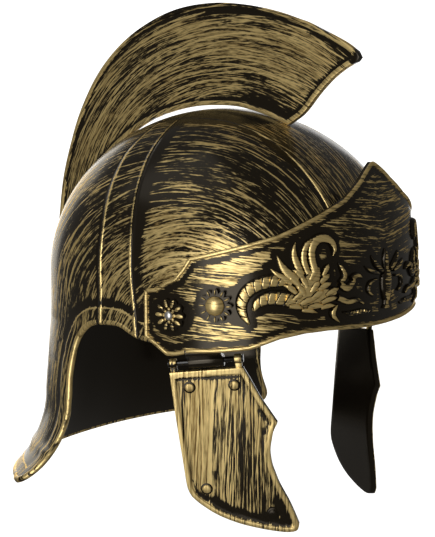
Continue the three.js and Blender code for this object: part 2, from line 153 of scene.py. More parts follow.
def vertexArray(piece):
    flat = np.zeros(len(piece.data.vertices) * 3)
    piece.data.vertices.foreach_get("co", flat)
    return flat.reshape(-1, 3)


def ramp(x, start, end):
    share = np.clip((np.asarray(x) - start) / (end - start), 0, 1)
    return share * share * (3 - 2 * share)


def plateau(x, rise, full, fall, end):
    return ramp(x, rise, full) * (1 - ramp(x, fall, end))


def hump(x, centre, width):
    return np.exp(-((x - centre) / width) ** 2)


# Distance of each point from a line of straight steps, open or closed, in 2-D or 3-D.
def nearLine(points, line, closed=False):
    ends = np.roll(line, -1, 0) if closed else line[1:]
    best = np.full(len(points), 1e9)
    for start, end in zip(line, ends):
        step = end - start
        share = np.clip(((points - start) @ step) / max(step @ step, 1e-12), 0, 1)
        best = np.minimum(best, np.linalg.norm(points - start - share[:, None] * step, axis=1))
    return best


def prismFaces(size):
    sides = [(i, (i + 1) % size, size + (i + 1) % size, size + i) for i in range(size)]
    return sides + [tuple(range(size)), tuple(range(size, 2 * size))]


# materials

paint = {
    "black": (0.0070, 0.0048, 0.0022, 1),
    "blackShine": 0.20,
    "shineTint": (1.0, 0.87, 0.68, 1),
    "shineLevel": 0.38,
    "goldDeep": (0.19, 0.115, 0.032, 1),
    "goldPale": (0.88, 0.67, 0.29, 1),
    "goldRoughness": 0.40,
    "goldMetal": 0.85,
    "goldHeight": 0.12,
    "bumpDepth": 0.0006,
    "bumpStrength": 0.8,
    "steel": (0.62, 0.61, 0.58, 1),
}
# Noise scales of the brush along and across a stroke, per metre, and each one's weight;
# the second pass; and where the gold and its pale tone begin and are full.
brushHair = {
    "wobble": (18, 50, 50), "wobbleReach": 0.0025,
    "hairs": (13, 1150, 1150), "hairsWeight": 0.75,
    "bristles": (30, 640, 640), "bristlesWeight": 0.5,
    "breaks": (150, 800, 800), "breaksWeight": 0.5,
    "streaks": (11, 240, 240), "streaksWeight": 0.24,
    "dabs": (26, 90, 90), "dabsWeight": 0.3,
    "patches": (11, 26, 26), "patchesWeight": 0.35,
    "secondSkew": 0.12, "secondShift": 0.37, "secondLess": 0.07,
    "edgeWeight": 0.3, "bareWeight": -0.7, "goldFrom": 1.80, "goldFull": 1.93,
    "paleEdge": 0.22, "paleFrom": 0.76, "paleFull": 1.10,
}


def socketValue(tree, target, value):
    if isinstance(value, bpy.types.NodeSocket):
        tree.links.new(value, target)
    else:
        target.default_value = value


def maths(tree, operation, a, b=None, c=None):
    made = tree.nodes.new("ShaderNodeMath")
    made.operation = operation
    for socket, value in zip(made.inputs, (a, b, c)):
        if value is not None:
            socketValue(tree, socket, value)
    return made.outputs[0]


def stretched(tree, vector, scales):
    made = tree.nodes.new("ShaderNodeVectorMath")
    made.operation = "MULTIPLY"
    socketValue(tree, made.inputs[0], vector)
    made.inputs[1].default_value = scales
    return made.outputs[0]


def noise(tree, vector, scales, detail=2.0, roughness=0.55):
    made = tree.nodes.new("ShaderNodeTexNoise")
    made.inputs["Scale"].default_value = 1
    made.inputs["Detail"].default_value = detail
    made.inputs["Roughness"].default_value = roughness
    socketValue(tree, made.inputs["Vector"], stretched(tree, vector, scales))
    return made.outputs["Fac"]


def remap(tree, value, low, high, outLow=0.0, outHigh=1.0, kind="SMOOTHSTEP"):
    made = tree.nodes.new("ShaderNodeMapRange")
    made.interpolation_type = kind
    socketValue(tree, made.inputs["Value"], value)
    for name, number in (("From Min", low), ("From Max", high), ("To Min", outLow), ("To Max", outHigh)):
        socketValue(tree, made.inputs[name], number)
    return made.outputs["Result"]


def mixColour(tree, factor, first, second):
    made = tree.nodes.new("ShaderNodeMix")
    made.data_type = "RGBA"
    socketValue(tree, made.inputs["Factor"], factor)
    socketValue(tree, made.inputs[6], first)
    socketValue(tree, made.inputs[7], second)
    return made.outputs[2]


def newGroup(name, inputs, outputs):
    group = bpy.data.node_groups.new(name, "ShaderNodeTree")
    for label, kind in inputs:
        group.interface.new_socket(name=label, in_out="INPUT", socket_type=kind)
    for label, kind in outputs:
        group.interface.new_socket(name=label, in_out="OUTPUT", socket_type=kind)
    return group, group.nodes.new("NodeGroupInput"), group.nodes.new("NodeGroupOutput")


# Streaks of gold left by a nearly dry brush. X of the stroke vector runs along them.
def makeDryBrush():
    group, given, result = newGroup(
        "dry brush",
        [("Stroke Vector", "NodeSocketVector"), ("Coverage", "NodeSocketFloat"),
         ("Edge", "NodeSocketFloat"), ("Bare", "NodeSocketFloat")],
        [("Gold", "NodeSocketFloat"), ("Tone", "NodeSocketFloat")])
    vector = given.outputs["Stroke Vector"]
    parts = group.nodes.new("ShaderNodeSeparateXYZ")
    group.links.new(vector, parts.inputs[0])
    hair = brushHair
    wobble = noise(group, vector, hair["wobble"])
    wander = maths(group, "MULTIPLY_ADD", wobble, hair["wobbleReach"], parts.outputs["Y"])

    def layer(skew, shift):
        bent = group.nodes.new("ShaderNodeCombineXYZ")
        group.links.new(maths(group, "ADD", parts.outputs["X"], shift), bent.inputs["X"])
        group.links.new(maths(group, "MULTIPLY_ADD", parts.outputs["X"], skew, wander), bent.inputs["Y"])
        group.links.new(maths(group, "ADD", parts.outputs["Z"], shift), bent.inputs["Z"])
        bent = bent.outputs[0]
        hairs = noise(group, bent, hair["hairs"], 1.0, 0.5)
        bristles = noise(group, bent, hair["bristles"], 2.0, 0.6)
        breaks = noise(group, bent, hair["breaks"], 2.0, 0.6)
        fine = maths(group, "MULTIPLY", bristles, hair["bristlesWeight"])
        fine = maths(group, "MULTIPLY_ADD", hairs, hair["hairsWeight"], fine)
        fine = maths(group, "MULTIPLY_ADD", breaks, hair["breaksWeight"], fine)
        streaks = noise(group, bent, hair["streaks"])
        return fine, maths(group, "MULTIPLY_ADD", streaks, hair["streaksWeight"], fine)

    fineOne, passOne = layer(0.0, 0.0)
    fineTwo, passTwo = layer(hair["secondSkew"], hair["secondShift"])
    total = maths(group, "MAXIMUM", passOne, maths(group, "SUBTRACT", passTwo, hair["secondLess"]))
    dabs = noise(group, vector, hair["dabs"], 3.0, 0.6)
    patches = noise(group, vector, hair["patches"])
    total = maths(group, "MULTIPLY_ADD", dabs, hair["dabsWeight"], total)
    total = maths(group, "MULTIPLY_ADD", patches, hair["patchesWeight"], total)
    total = maths(group, "ADD", total, given.outputs["Coverage"])
    total = maths(group, "MULTIPLY_ADD", given.outputs["Edge"], hair["edgeWeight"], total)
    total = maths(group, "MULTIPLY_ADD", given.outputs["Bare"], hair["bareWeight"], total)
    gold = remap(group, total, hair["goldFrom"], hair["goldFull"])
    group.links.new(gold, result.inputs["Gold"])
    tone = maths(group, "MULTIPLY_ADD", given.outputs["Edge"], hair["paleEdge"],
                 maths(group, "MAXIMUM", fineOne, fineTwo))
    group.links.new(remap(group, tone, hair["paleFrom"], hair["paleFull"]), result.inputs["Tone"])
    return group


# Stroke vector for strokes that circle an axis along X through the given centre.
# Rounded is 1 on a domed form and 0 on a flat plate that faces along X.
def makeArcStrokes():
    group, given, result = newGroup(
        "arc strokes",
        [("Centre Y", "NodeSocketFloat"), ("Centre Z", "NodeSocketFloat"), ("Arm", "NodeSocketFloat"),
         ("Rounded", "NodeSocketFloat")],
        [("Stroke Vector", "NodeSocketVector")])
    place = group.nodes.new("ShaderNodeTexCoord").outputs["Object"]
    split = group.nodes.new("ShaderNodeSeparateXYZ")
    group.links.new(place, split.inputs[0])
    y = maths(group, "SUBTRACT", split.outputs["Y"], given.outputs["Centre Y"])
    z = maths(group, "SUBTRACT", split.outputs["Z"], given.outputs["Centre Z"])
    reach = maths(group, "SQRT", maths(group, "ADD", maths(group, "MULTIPLY", y, y),
                                       maths(group, "MULTIPLY", z, z)))
    turn = maths(group, "ARCTAN2", y, z)
    bow = maths(group, "MULTIPLY", maths(group, "ARCTAN2", split.outputs["X"], reach), given.outputs["Arm"])
    across = maths(group, "MULTIPLY_ADD", maths(group, "SUBTRACT", bow, reach),
                   given.outputs["Rounded"], reach)
    joined = group.nodes.new("ShaderNodeCombineXYZ")
    group.links.new(maths(group, "MULTIPLY", turn, given.outputs["Arm"]), joined.inputs["X"])
    group.links.new(across, joined.inputs["Y"])
    group.links.new(joined.outputs[0], result.inputs["Stroke Vector"])
    return group


# Stroke vector for strokes that run level round the Z axis. Where Upright is 1 they run
# down a flat plate instead, whose face is turned by Turn from the side view.
def makeLevelStrokes():
    group, given, result = newGroup(
        "level strokes",
        [("Arm", "NodeSocketFloat"), ("Rise", "NodeSocketFloat"), ("Upright", "NodeSocketFloat"),
         ("Turn", "NodeSocketFloat")],
        [("Stroke Vector", "NodeSocketVector")])
    place = group.nodes.new("ShaderNodeTexCoord").outputs["Object"]
    split = group.nodes.new("ShaderNodeSeparateXYZ")
    group.links.new(place, split.inputs[0])
    x, y, z = (split.outputs[k] for k in "XYZ")
    side = maths(group, "ABSOLUTE", x)
    along = maths(group, "MULTIPLY", maths(group, "ARCTAN2", x, maths(group, "MULTIPLY", y, -1.0)),
                  given.outputs["Arm"])
    across = maths(group, "MULTIPLY_ADD", side, given.outputs["Rise"], z)
    level = group.nodes.new("ShaderNodeCombineXYZ")
    for value, name in ((along, "X"), (across, "Y")):
        group.links.new(value, level.inputs[name])
    upright = group.nodes.new("ShaderNodeCombineXYZ")
    group.links.new(maths(group, "MULTIPLY", z, 0.55), upright.inputs["X"])
    ahead = maths(group, "MULTIPLY", y, maths(group, "COSINE", given.outputs["Turn"]))
    ahead = maths(group, "MULTIPLY_ADD", side, maths(group, "SINE", given.outputs["Turn"]), ahead)
    group.links.new(ahead, upright.inputs["Y"])
    chosen = group.nodes.new("ShaderNodeMix")
    chosen.data_type = "VECTOR"
    group.links.new(given.outputs["Upright"], chosen.inputs["Factor"])
    group.links.new(level.outputs[0], chosen.inputs[4])
    group.links.new(upright.outputs[0], chosen.inputs[5])
    group.links.new(chosen.outputs[1], result.inputs["Stroke Vector"])
    return group


dryBrush = makeDryBrush()
arcStrokes = makeArcStrokes()
levelStrokes = makeLevelStrokes()


def vertexValue(tree, name):
    node = tree.nodes.new("ShaderNodeAttribute")
    node.attribute_name = name
    return node.outputs["Fac"]


def brushOf(tree):
    return next(n for n in tree.nodes if n.type == "GROUP" and n.node_tree == dryBrush)


# Black plastic with gold strokes. Vertex values: bare keeps gold off, edge draws it.
def brushedMaterial(name, strokes, settings, coverage):
    material = bpy.data.materials.new(name)
    material.use_nodes = True
    tree = material.node_tree
    shader = tree.nodes["Principled BSDF"]
    lines = tree.nodes.new("ShaderNodeGroup")
    lines.node_tree = strokes
    for label, value in settings.items():
        lines.inputs[label].default_value = value
    brush = tree.nodes.new("ShaderNodeGroup")
    brush.node_tree = dryBrush
    tree.links.new(lines.outputs["Stroke Vector"], brush.inputs["Stroke Vector"])
    brush.inputs["Coverage"].default_value = coverage
    tree.links.new(vertexValue(tree, "edge"), brush.inputs["Edge"])
    tree.links.new(vertexValue(tree, "bare"), brush.inputs["Bare"])
    gold = brush.outputs["Gold"]
    tone = mixColour(tree, brush.outputs["Tone"], paint["goldDeep"], paint["goldPale"])
    tree.links.new(mixColour(tree, gold, paint["black"], tone), shader.inputs["Base Color"])
    tree.links.new(remap(tree, gold, 0, 1, paint["blackShine"], paint["goldRoughness"], "LINEAR"),
                   shader.inputs["Roughness"])
    tree.links.new(maths(tree, "MULTIPLY", gold, paint["goldMetal"]), shader.inputs["Metallic"])
    shader.inputs["Specular Tint"].default_value = paint["shineTint"]
    shader.inputs["Specular IOR Level"].default_value = paint["shineLevel"]
    bump = tree.nodes.new("ShaderNodeBump")
    bump.inputs["Distance"].default_value = paint["bumpDepth"]
    bump.inputs["Strength"].default_value = paint["bumpStrength"]
    tree.links.new(maths(tree, "MULTIPLY", gold, paint["goldHeight"]), bump.inputs["Height"])
    tree.links.new(bump.outputs["Normal"], shader.inputs["Normal"])
    return material


def plainMaterial(name, colour, roughness, metal, speckle):
    material = bpy.data.materials.new(name)
    material.use_nodes = True
    tree = material.node_tree
    shader = tree.nodes["Principled BSDF"]
    place = tree.nodes.new("ShaderNodeTexCoord").outputs["Object"]
    cloud = noise(tree, place, (90, 90, 90), 3.0)
    darker = tuple(c * (1 - speckle) for c in colour[:3]) + (1,)
    tree.links.new(mixColour(tree, cloud, darker, colour), shader.inputs["Base Color"])
    tree.links.new(remap(tree, cloud, 0.3, 0.7, roughness * 0.85, roughness * 1.2),
                   shader.inputs["Roughness"])
    shader.inputs["Metallic"].default_value = metal
    return material


blackPlastic = plainMaterial("black plastic", paint["black"], 0.24, 0.0, 0.3)
rivetSteel = plainMaterial("rivet steel", paint["steel"], 0.3, 0.9, 0.2)


def finishPiece(piece, material, body, node):
    piece.data.materials.clear()
    piece.data.materials.append(material)
    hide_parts(node)
    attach(piece, body)


# Finishes a right-hand piece and its mirror image; node is their shared name.
def finishPair(piece, material, bodies, node):
    left = mirroredCopy(piece, node + "_left")
    finishPiece(piece, material, bodies[0], node + "_right")
    finishPiece(left, material, bodies[1], node + "_left")


# skull

skull = {
    "halfWidth": 0.098, "halfLength": 0.116, "domeHeight": 0.107,
    "planPower": 2.5, "domePower": 1.98, "wall": 0.0024,
    "splayStart": -0.028, "splay": 0.008, "flareStart": -0.074, "rimSide": -0.117, "rimBack": -0.127,
    "neckHalfWidth": 0.142, "neckReach": 0.130, "neckShift": 0.008,
    "neckPlanPower": 2.1, "flarePower": 2.2,
    "browRim": -0.012, "archTop": -0.020, "archBack": 0.050, "archCentre": 0.014,
    "footRim": -0.026, "columns": 300, "flange": 0.0085, "flangeRise": 0.0007,
    "bead": 0.0021, "ribHeight": 0.872, "ribRise": 0.0009, "ribWidth": 0.018,
    "archCurve": [(0.417, 0.03), (0.611, 0.09), (0.79, 0.2), (0.917, 0.38), (0.98, 0.7)],
    "strokes": {"Centre Y": -0.052, "Centre Z": -0.055, "Arm": 0.12, "Rounded": 1.0}, "coverage": 0.445,
}
strapTable = {
    "level": [-0.03, 0.0, 0.035, 0.060, 0.080, 0.100],
    "centre": [0.0075, 0.0090, 0.0130, 0.0178, 0.0208, 0.0205],
    "half": [0.0150, 0.0129, 0.0118, 0.0110, 0.0100, 0.0070],
}
centralBand = {"half": 0.031}
# Lines of the skull's material. Strap measures are shares of its half width, the others metres.
skullLines = {
    "ridgeWidth": 0.075, "grooveAt": 1.17, "grooveWidth": 0.09, "domeFrom": (0.0, 0.02),
    "lineEnd": (0.088, 0.062), "lineWidth": 0.0008, "stepSoft": 0.0005,
    "bandGrooveOut": 0.0024, "bandGrooveWidth": 0.0012, "flangeWidth": 0.0006, "grooveBare": 0.45,
    "ridgeHeight": 1.1, "stepHeight": 1.4, "grooveHeight": -0.5, "goldHeight": 0.1, "bumpStrength": 1.0,
}
# How far marks keep the gold off the skull, and where. Lengths in metres from strap, rim or brow.
skullMarks = {
    "beforeStrap": 0.8, "beforeStrapAt": 0.005, "beforeStrapWidth": 0.0035, "beforeStrapFade": (0.0, 0.04),
    "crown": 0.9, "crownLevel": (0.097, 0.104),
    "rimShadow": 0.55, "rimShadowAt": 0.0115, "rimShadowWidth": 0.0022,
    # The next three entries put more gold in a patch low on the dome just ahead of the strap: a painted
    # highlight where the key light's reflection falls.
    "paintedSheen": 0.23, "paintedSheenLevel": (-0.005, 0.012, 0.032, 0.054), "paintedSheenAhead": (0.006, 0.02, 0.055, 0.085),
    "strapGold": 0.04, "strapFade": (0.04, 0.07), "inside": 3.0, "lip": 0.003, "beadGold": 0.4,
}


def signedPower(value, power):
    return np.sign(value) * np.abs(value) ** power


def planPoint(halfWidth, halfLength, power, angle):
    return (halfWidth * signedPower(np.sin(angle), 2 / power),
            -halfLength * signedPower(np.cos(angle), 2 / power))


# Outside of the skull: height 1 is the crown, 0 the brow, -1 the lower rim.
def skullSurface(angle, height):
    angle, height = np.broadcast_arrays(np.asarray(angle, float), np.asarray(height, float))
    wallX, wallY = planPoint(skull["halfWidth"], skull["halfLength"], skull["planPower"], angle)
    turn = np.clip(height, 0, 1) * math.pi / 2
    domeZ = skull["domeHeight"] * np.sin(turn) ** (2 / skull["domePower"])
    share = np.cos(turn) ** (2 / skull["domePower"])
    rimX, rimY = planPoint(skull["neckHalfWidth"], skull["neckReach"] - skull["neckShift"],
                           skull["neckPlanPower"], angle)
    rimY = rimY + skull["neckShift"]
    backness = np.maximum(0, -np.cos(angle))
    rimZ = skull["rimSide"] + (skull["rimBack"] - skull["rimSide"]) * backness
    lowZ = rimZ * -np.minimum(height, 0)
    flare = np.maximum(0, (skull["flareStart"] - lowZ) / (skull["flareStart"] - rimZ)) ** skull["flarePower"]
    low = height < 0
    splay = np.clip((skull["splayStart"] - lowZ) / (skull["splayStart"] - skull["flareStart"]), 0, 1)
    wideX = wallX * (1 + splay * skull["splay"] / skull["halfWidth"])
    x = np.where(low, wideX + (rimX - wideX) * flare, wallX * share)
    y = np.where(low, wallY + (rimY - wallY) * flare, wallY * share)
    z = np.where(low, lowZ, domeZ)
    return np.stack([x, y, z], axis=-1)


def skullNormal(angle, height):
    step = 0.004
    height = np.clip(height, -1, 0.995)
    across = skullSurface(angle + step, height) - skullSurface(angle - step, height)
    along = skullSurface(angle, height + step) - skullSurface(angle, height - step)
    normal = np.cross(across, along)
    return normal / np.linalg.norm(normal, axis=-1)[..., None]


# The cut over face and ears in side view, from the brow back to the guard's corner.
def openingProfile():
    reach = skull["archBack"] - skull["archCentre"]
    drop = skull["flareStart"] - skull["archTop"]
    points = [(-0.072, skull["browRim"]), (-0.040, skull["footRim"]), (-0.014, skull["footRim"]),
              (-0.004, skull["footRim"] + 0.002), (skull["archCentre"] - 0.008, skull["archTop"]),
              (skull["archCentre"] + 0.004, skull["archTop"])]
    for out, down in skull["archCurve"]:
        points.append((skull["archCentre"] + reach * out, skull["archTop"] + drop * down))
    back, side = skull["archBack"], skull["rimSide"]
    points += [(back - 0.002, skull["flareStart"]), (back + 0.001, skull["flareStart"] - 0.024),
               (back + 0.004, side + 0.008), (back + 0.0082, side + 0.002),
               (back + 0.014, side - 0.0025), (back + 0.024, side - 0.007)]
    return np.array(points)


# Points spaced evenly along a curve drawn smoothly through the given ones.
def smoothPath(points, count):
    points = np.array(points, float)
    last = len(points) - 1
    made = []
    for i in range(last):
        a, b, c, d = (points[min(max(i + k, 0), last)] for k in (-1, 0, 1, 2))
        for t in np.linspace(0, 1, 12, endpoint=False):
            made.append(0.5 * (2 * b + (c - a) * t + (2 * a - 5 * b + 4 * c - d) * t ** 2
                               + (3 * b - a - 3 * c + d) * t ** 3))
    made = np.array(made + [points[-1]])
    run = np.r_[0, np.cumsum(np.linalg.norm(np.diff(made, axis=0), axis=1))]
    even = np.linspace(0, run[-1], count)
    return np.stack([np.interp(even, run, made[:, k]) for k in range(made.shape[1])], axis=1)


# Angle and height of the right side's surface point with this Y and Z.
def skullAtSide(y, z):
    low, high = math.radians(181), math.radians(359)
    for _ in range(40):
        middle = (low + high) / 2
        backness = max(0.0, -math.cos(middle))
        rimZ = skull["rimSide"] + (skull["rimBack"] - skull["rimSide"]) * backness
        height = max(-1.0, -z / rimZ) if z < 0 else 0.0
        if skullSurface(middle, height)[1] > y:
            low = middle
        else:
            high = middle
    return middle, height


def buildSkull():
    angles = np.linspace(0, 2 * math.pi, skull["columns"], endpoint=False)
    domeRows = np.r_[np.linspace(0.985, 0.1, 54), np.linspace(0.08, 0.0, 5)]
    wallRows = np.linspace(-0.02, -1.0, 80)
    outerRows = np.r_[domeRows, wallRows]
    innerRows = np.r_[np.linspace(-1.0, -0.05, 36), np.linspace(0.0, 0.985, 30)]
    rings = []
    for height in outerRows:
        ring = skullSurface(angles, height)
        rib = skull["ribRise"] * hump(height, -skull["ribHeight"], skull["ribWidth"])
        rings.append(ring + rib * skullNormal(angles, height))
    for height in innerRows:
        rings.append(skullSurface(angles, height) - skull["wall"] * skullNormal(angles, height))
    count = skull["columns"]
    points = np.concatenate(rings)
    faces = [(r * count + i, r * count + (i + 1) % count,
              (r + 1) * count + (i + 1) % count, (r + 1) * count + i)
             for r in range(len(rings) - 1) for i in range(count)]
    faces.append(tuple(range(count)))
    faces.append(tuple(range((len(rings) - 1) * count, len(rings) * count)))
    shell = meshPiece("skull", points, faces)

    profile = smoothPath(openingProfile(), 90)
    reach = 0.25
    outline = np.vstack([[(-reach, skull["browRim"])], profile,
                         [(skull["archBack"] + 0.048, skull["rimSide"] - 0.014),
                          (skull["archBack"] + 0.052, -reach), (-reach, -reach)]])
    sides = [[(x, y, z) for y, z in outline] for x in (-reach, reach)]
    cutter = meshPiece("opening cutter", sides[0] + sides[1], prismFaces(len(outline)))
    makeActive(shell)
    cut = shell.modifiers.new("opening", "BOOLEAN")
    cut.operation = "DIFFERENCE"
    cut.solver = "EXACT"
    cut.object = cutter
    bpy.ops.object.modifier_apply(modifier=cut.name)
    bpy.data.objects.remove(cutter, do_unlink=True)

    edge = [skullAtSide(y, z) for y, z in profile[8:]]
    corner = edge[-1][0]
    edge += [(a, -0.995) for a in np.linspace(corner, math.pi, 60)[1:]]
    edgeAngle, edgeHeight = np.array(edge).T
    path = skullSurface(edgeAngle, edgeHeight)
    normals = skullNormal(edgeAngle, edgeHeight)
    mirror = np.array([-1, 1, 1])
    path = np.vstack([path, path[-2::-1] * mirror])
    normals = np.vstack([normals, normals[-2::-1] * mirror])
    inset = path - normals * skull["wall"] * 0.35
    bead = tube("rim bead", inset, normals, skull["bead"], 0.9)

    points = vertexArray(shell)
    distance = nearLine(points, path)
    inner = facesIn(shell)
    away = points * (1, 1, 0)
    away /= np.linalg.norm(away, axis=1)[:, None]
    rise = skull["flangeRise"] * (1 - ramp(distance, skull["flange"] - 0.0006, skull["flange"] + 0.0006))
    points = points + away * (rise * ~inner)[:, None]
    shell.data.vertices.foreach_set("co", points.ravel())
    setFloat(shell, "edge", np.zeros(len(points)))
    setFloat(bead, "edge", np.full(len(bead.data.vertices), skullMarks["beadGold"]))
    piece = joinInto("skull_shell", [shell, bead])
    smooth(piece, 40)
    return piece, path


# True for vertices of the skull's inner skin.
def facesIn(piece):
    points = vertexArray(piece)
    normals = np.zeros(len(points) * 3)
    piece.data.vertices.foreach_get("normal", normals)
    fromMiddle = points * np.where(points[:, 2:] > 0, 1, (1, 1, 0))
    return np.einsum("ij,ij->i", normals.reshape(-1, 3), fromMiddle) < 0


def markSkull(piece, path):
    points = vertexArray(piece)
    y, z = points.T[1:]
    inside = facesIn(piece)
    distance = nearLine(points, path)
    centre = np.interp(z, strapTable["level"], strapTable["centre"])
    half = np.interp(z, strapTable["level"], strapTable["half"])
    setFloat(piece, "strap", (y - centre) / half)
    setFloat(piece, "rimDistance", distance)
    ahead = (centre - half) - y
    marks = skullMarks
    bare = marks["beforeStrap"] * hump(ahead, marks["beforeStrapAt"], marks["beforeStrapWidth"]) \
        * ramp(z, *marks["beforeStrapFade"])
    bare = np.maximum(bare, marks["crown"] * ramp(z, *marks["crownLevel"]))
    rimShadow = hump(distance, marks["rimShadowAt"], marks["rimShadowWidth"])
    bare = np.maximum(bare, marks["rimShadow"] * rimShadow)
    # More gold in a patch low on the dome ahead of the strap: a painted highlight where the key light's
    # reflection falls.
    bare = bare - marks["paintedSheen"] * plateau(z, *marks["paintedSheenLevel"]) * plateau(ahead, *marks["paintedSheenAhead"])
    onStrap = 1 - ramp(np.abs(y - centre) / half, 0.8, 1.0)
    bare = bare - marks["strapGold"] * onStrap * (1 - ramp(z, *marks["strapFade"]))
    bare = np.where(inside & (distance > marks["lip"]), marks["inside"], bare)
    setFloat(piece, "bare", bare)


def skullMaterial():
    material = brushedMaterial("skull brushed", arcStrokes, skull["strokes"], skull["coverage"])
    tree = material.node_tree
    lines = skullLines
    brush = brushOf(tree)
    bump = tree.nodes["Bump"]
    place = tree.nodes.new("ShaderNodeTexCoord").outputs["Object"]
    split = tree.nodes.new("ShaderNodeSeparateXYZ")
    tree.links.new(place, split.inputs[0])
    bare = brush.inputs["Bare"].links[0].from_socket
    edge = brush.inputs["Edge"].links[0].from_socket

    def bell(value, centre, width):
        away = maths(tree, "DIVIDE", maths(tree, "SUBTRACT", value, centre), width)
        square = maths(tree, "MULTIPLY", away, away)
        return maths(tree, "POWER", math.e, maths(tree, "MULTIPLY", square, -1.0))

    outer = maths(tree, "LESS_THAN", bare, 2.0)
    acrossStrap = maths(tree, "ABSOLUTE", vertexValue(tree, "strap"))
    ridge = bell(acrossStrap, 1.0, lines["ridgeWidth"])
    groove = bell(acrossStrap, lines["grooveAt"], lines["grooveWidth"])
    acrossBand = maths(tree, "ABSOLUTE", split.outputs["X"])
    onDome = remap(tree, split.outputs["Z"], *lines["domeFrom"])
    lineEnd = maths(tree, "MULTIPLY", onDome, remap(tree, split.outputs["Z"], *lines["lineEnd"]))
    half = centralBand["half"]
    bandLine = maths(tree, "MULTIPLY", bell(acrossBand, half, lines["lineWidth"]), lineEnd)
    bandStep = maths(tree, "MULTIPLY",
                     remap(tree, acrossBand, half + lines["stepSoft"], half - lines["stepSoft"]), onDome)
    bandGroove = maths(tree, "MULTIPLY",
                       bell(acrossBand, half + lines["bandGrooveOut"], lines["bandGrooveWidth"]), onDome)
    flangeLine = bell(vertexValue(tree, "rimDistance"), skull["flange"], lines["flangeWidth"])
    drawn = maths(tree, "MAXIMUM", ridge, maths(tree, "MAXIMUM", bandLine, flangeLine))
    drawn = maths(tree, "MULTIPLY", maths(tree, "MAXIMUM", edge, drawn), outer)
    tree.links.new(drawn, brush.inputs["Edge"])
    dark = maths(tree, "MAXIMUM", groove, bandGroove)
    dark = maths(tree, "MULTIPLY_ADD", maths(tree, "MULTIPLY", dark, outer), lines["grooveBare"], bare)
    tree.links.new(dark, brush.inputs["Bare"])
    height = maths(tree, "MULTIPLY", bandStep, lines["stepHeight"])
    height = maths(tree, "MULTIPLY_ADD", ridge, lines["ridgeHeight"], height)
    height = maths(tree, "MULTIPLY_ADD", groove, lines["grooveHeight"], height)
    height = maths(tree, "MULTIPLY", height, outer)
    height = maths(tree, "MULTIPLY_ADD", brush.outputs["Gold"], lines["goldHeight"], height)
    tree.links.new(height, bump.inputs["Height"])
    bump.inputs["Strength"].default_value = lines["bumpStrength"]
    return material


skullPiece, rimPath = buildSkull()
markSkull(skullPiece, rimPath)
finishPiece(skullPiece, skullMaterial(), "shell", "skull_shell")
print("skull", len(skullPiece.data.polygons))


# crest

crest = {
    "height": 0.066, "plate": 0.0030, "border": 0.0046, "borderWidth": 0.0030, "seat": 0.0003,
    "arcAngle": [-19, -13, -5, 4, 14, 24, 33, 42, 52, 61, 69, 77],
    "arcLift": [0, 0.0004, 0.0012, 0.0016, 0.0032, 0.0052, 0.0076, 0.0096, 0.0125, 0.0155, 0.017, 0.0155],
    "arcHeight": [0.955, 0.965, 0.985, 1.01, 1.025, 1.005, 0.965, 0.895, 0.79, 0.695, 0.635, 0.58],
    "hornAngle": [-26.5, -29.2, -30.3, -31.4, -32.8, -34.4, -35.8, -35.9, -34.6, -30.6, -22],
    "hornHeight": [0, 0.13, 0.23, 0.43, 0.62, 0.77, 0.87, 0.92, 0.95, 0.955, 0.955],
    "heelAngle": [84, 88, 89, 83, 81],
    "heelHeight": [0.55, 0.42, 0.25, 0, 0.12],
    "strokes": {"Centre Y": 0.004, "Centre Z": 0.004, "Arm": 0.13, "Rounded": 0.0}, "coverage": 0.53,
}


def crestPoint(degrees, over):
    turn = math.radians(degrees)
    across = abs(math.sin(turn)) / skull["halfLength"]
    up = abs(math.cos(turn)) / skull["domeHeight"]
    radius = (across ** skull["domePower"] + up ** skull["domePower"]) ** (-1 / skull["domePower"]) + over
    return radius * math.sin(turn), radius * math.cos(turn)


# The outline moved inwards; points that would come too near its other side are left out.
def insetLoop(outline, width):
    before, after = np.roll(outline, 1, 0), np.roll(outline, -1, 0)
    along = after - before
    along /= np.maximum(np.linalg.norm(along, axis=1), 1e-9)[:, None]
    inward = np.stack([-along[:, 1], along[:, 0]], axis=1)
    area = np.sum(outline[:, 0] * after[:, 1] - after[:, 0] * outline[:, 1])
    moved = outline + inward * width * np.sign(area)
    return moved[nearLine(moved, outline, closed=True) > width * 0.985]


# A flat plate on the XY plane with a raised border on its faces.
def borderedPlate(name, outline, plate, border, borderWidth, backFlat=False):
    inset = insetLoop(outline, borderWidth)
    half = border / 2
    mesh = bmesh.new()

    def ring(points, level):
        verts = [mesh.verts.new((x, y, level)) for x, y in points]
        return verts, [mesh.edges.new((a, b)) for a, b in zip(verts, verts[1:] + verts[:1])]

    def wall(first, second):
        for i in range(len(first)):
            k = (i + 1) % len(first)
            mesh.faces.new((first[i], first[k], second[k], second[i]))

    rims = []
    for side in (1, -1):
        outer, outerEdges = ring(outline, side * half)
        rims.append(outer)
        if backFlat and side < 0:
            mesh.faces.new(outer)
            continue
        inner, innerEdges = ring(inset, side * half)
        floor = [mesh.verts.new((x, y, side * plate / 2)) for x, y in inset]
        bmesh.ops.triangle_fill(mesh, use_beauty=True, edges=outerEdges + innerEdges)
        wall(inner, floor)
        mesh.faces.new(floor)
    wall(rims[0], rims[1])
    made = bpy.data.meshes.new(name)
    mesh.to_mesh(made)
    mesh.free()
    piece = bpy.data.objects.new(name, made)
    bpy.context.collection.objects.link(piece)
    makeActive(piece)
    bpy.ops.object.mode_set(mode="EDIT")
    bpy.ops.mesh.select_all(action="SELECT")
    bpy.ops.mesh.normals_make_consistent(inside=False)
    bpy.ops.object.mode_set(mode="OBJECT")
    bevelled(piece, 0.0005, 2, 35)
    return piece


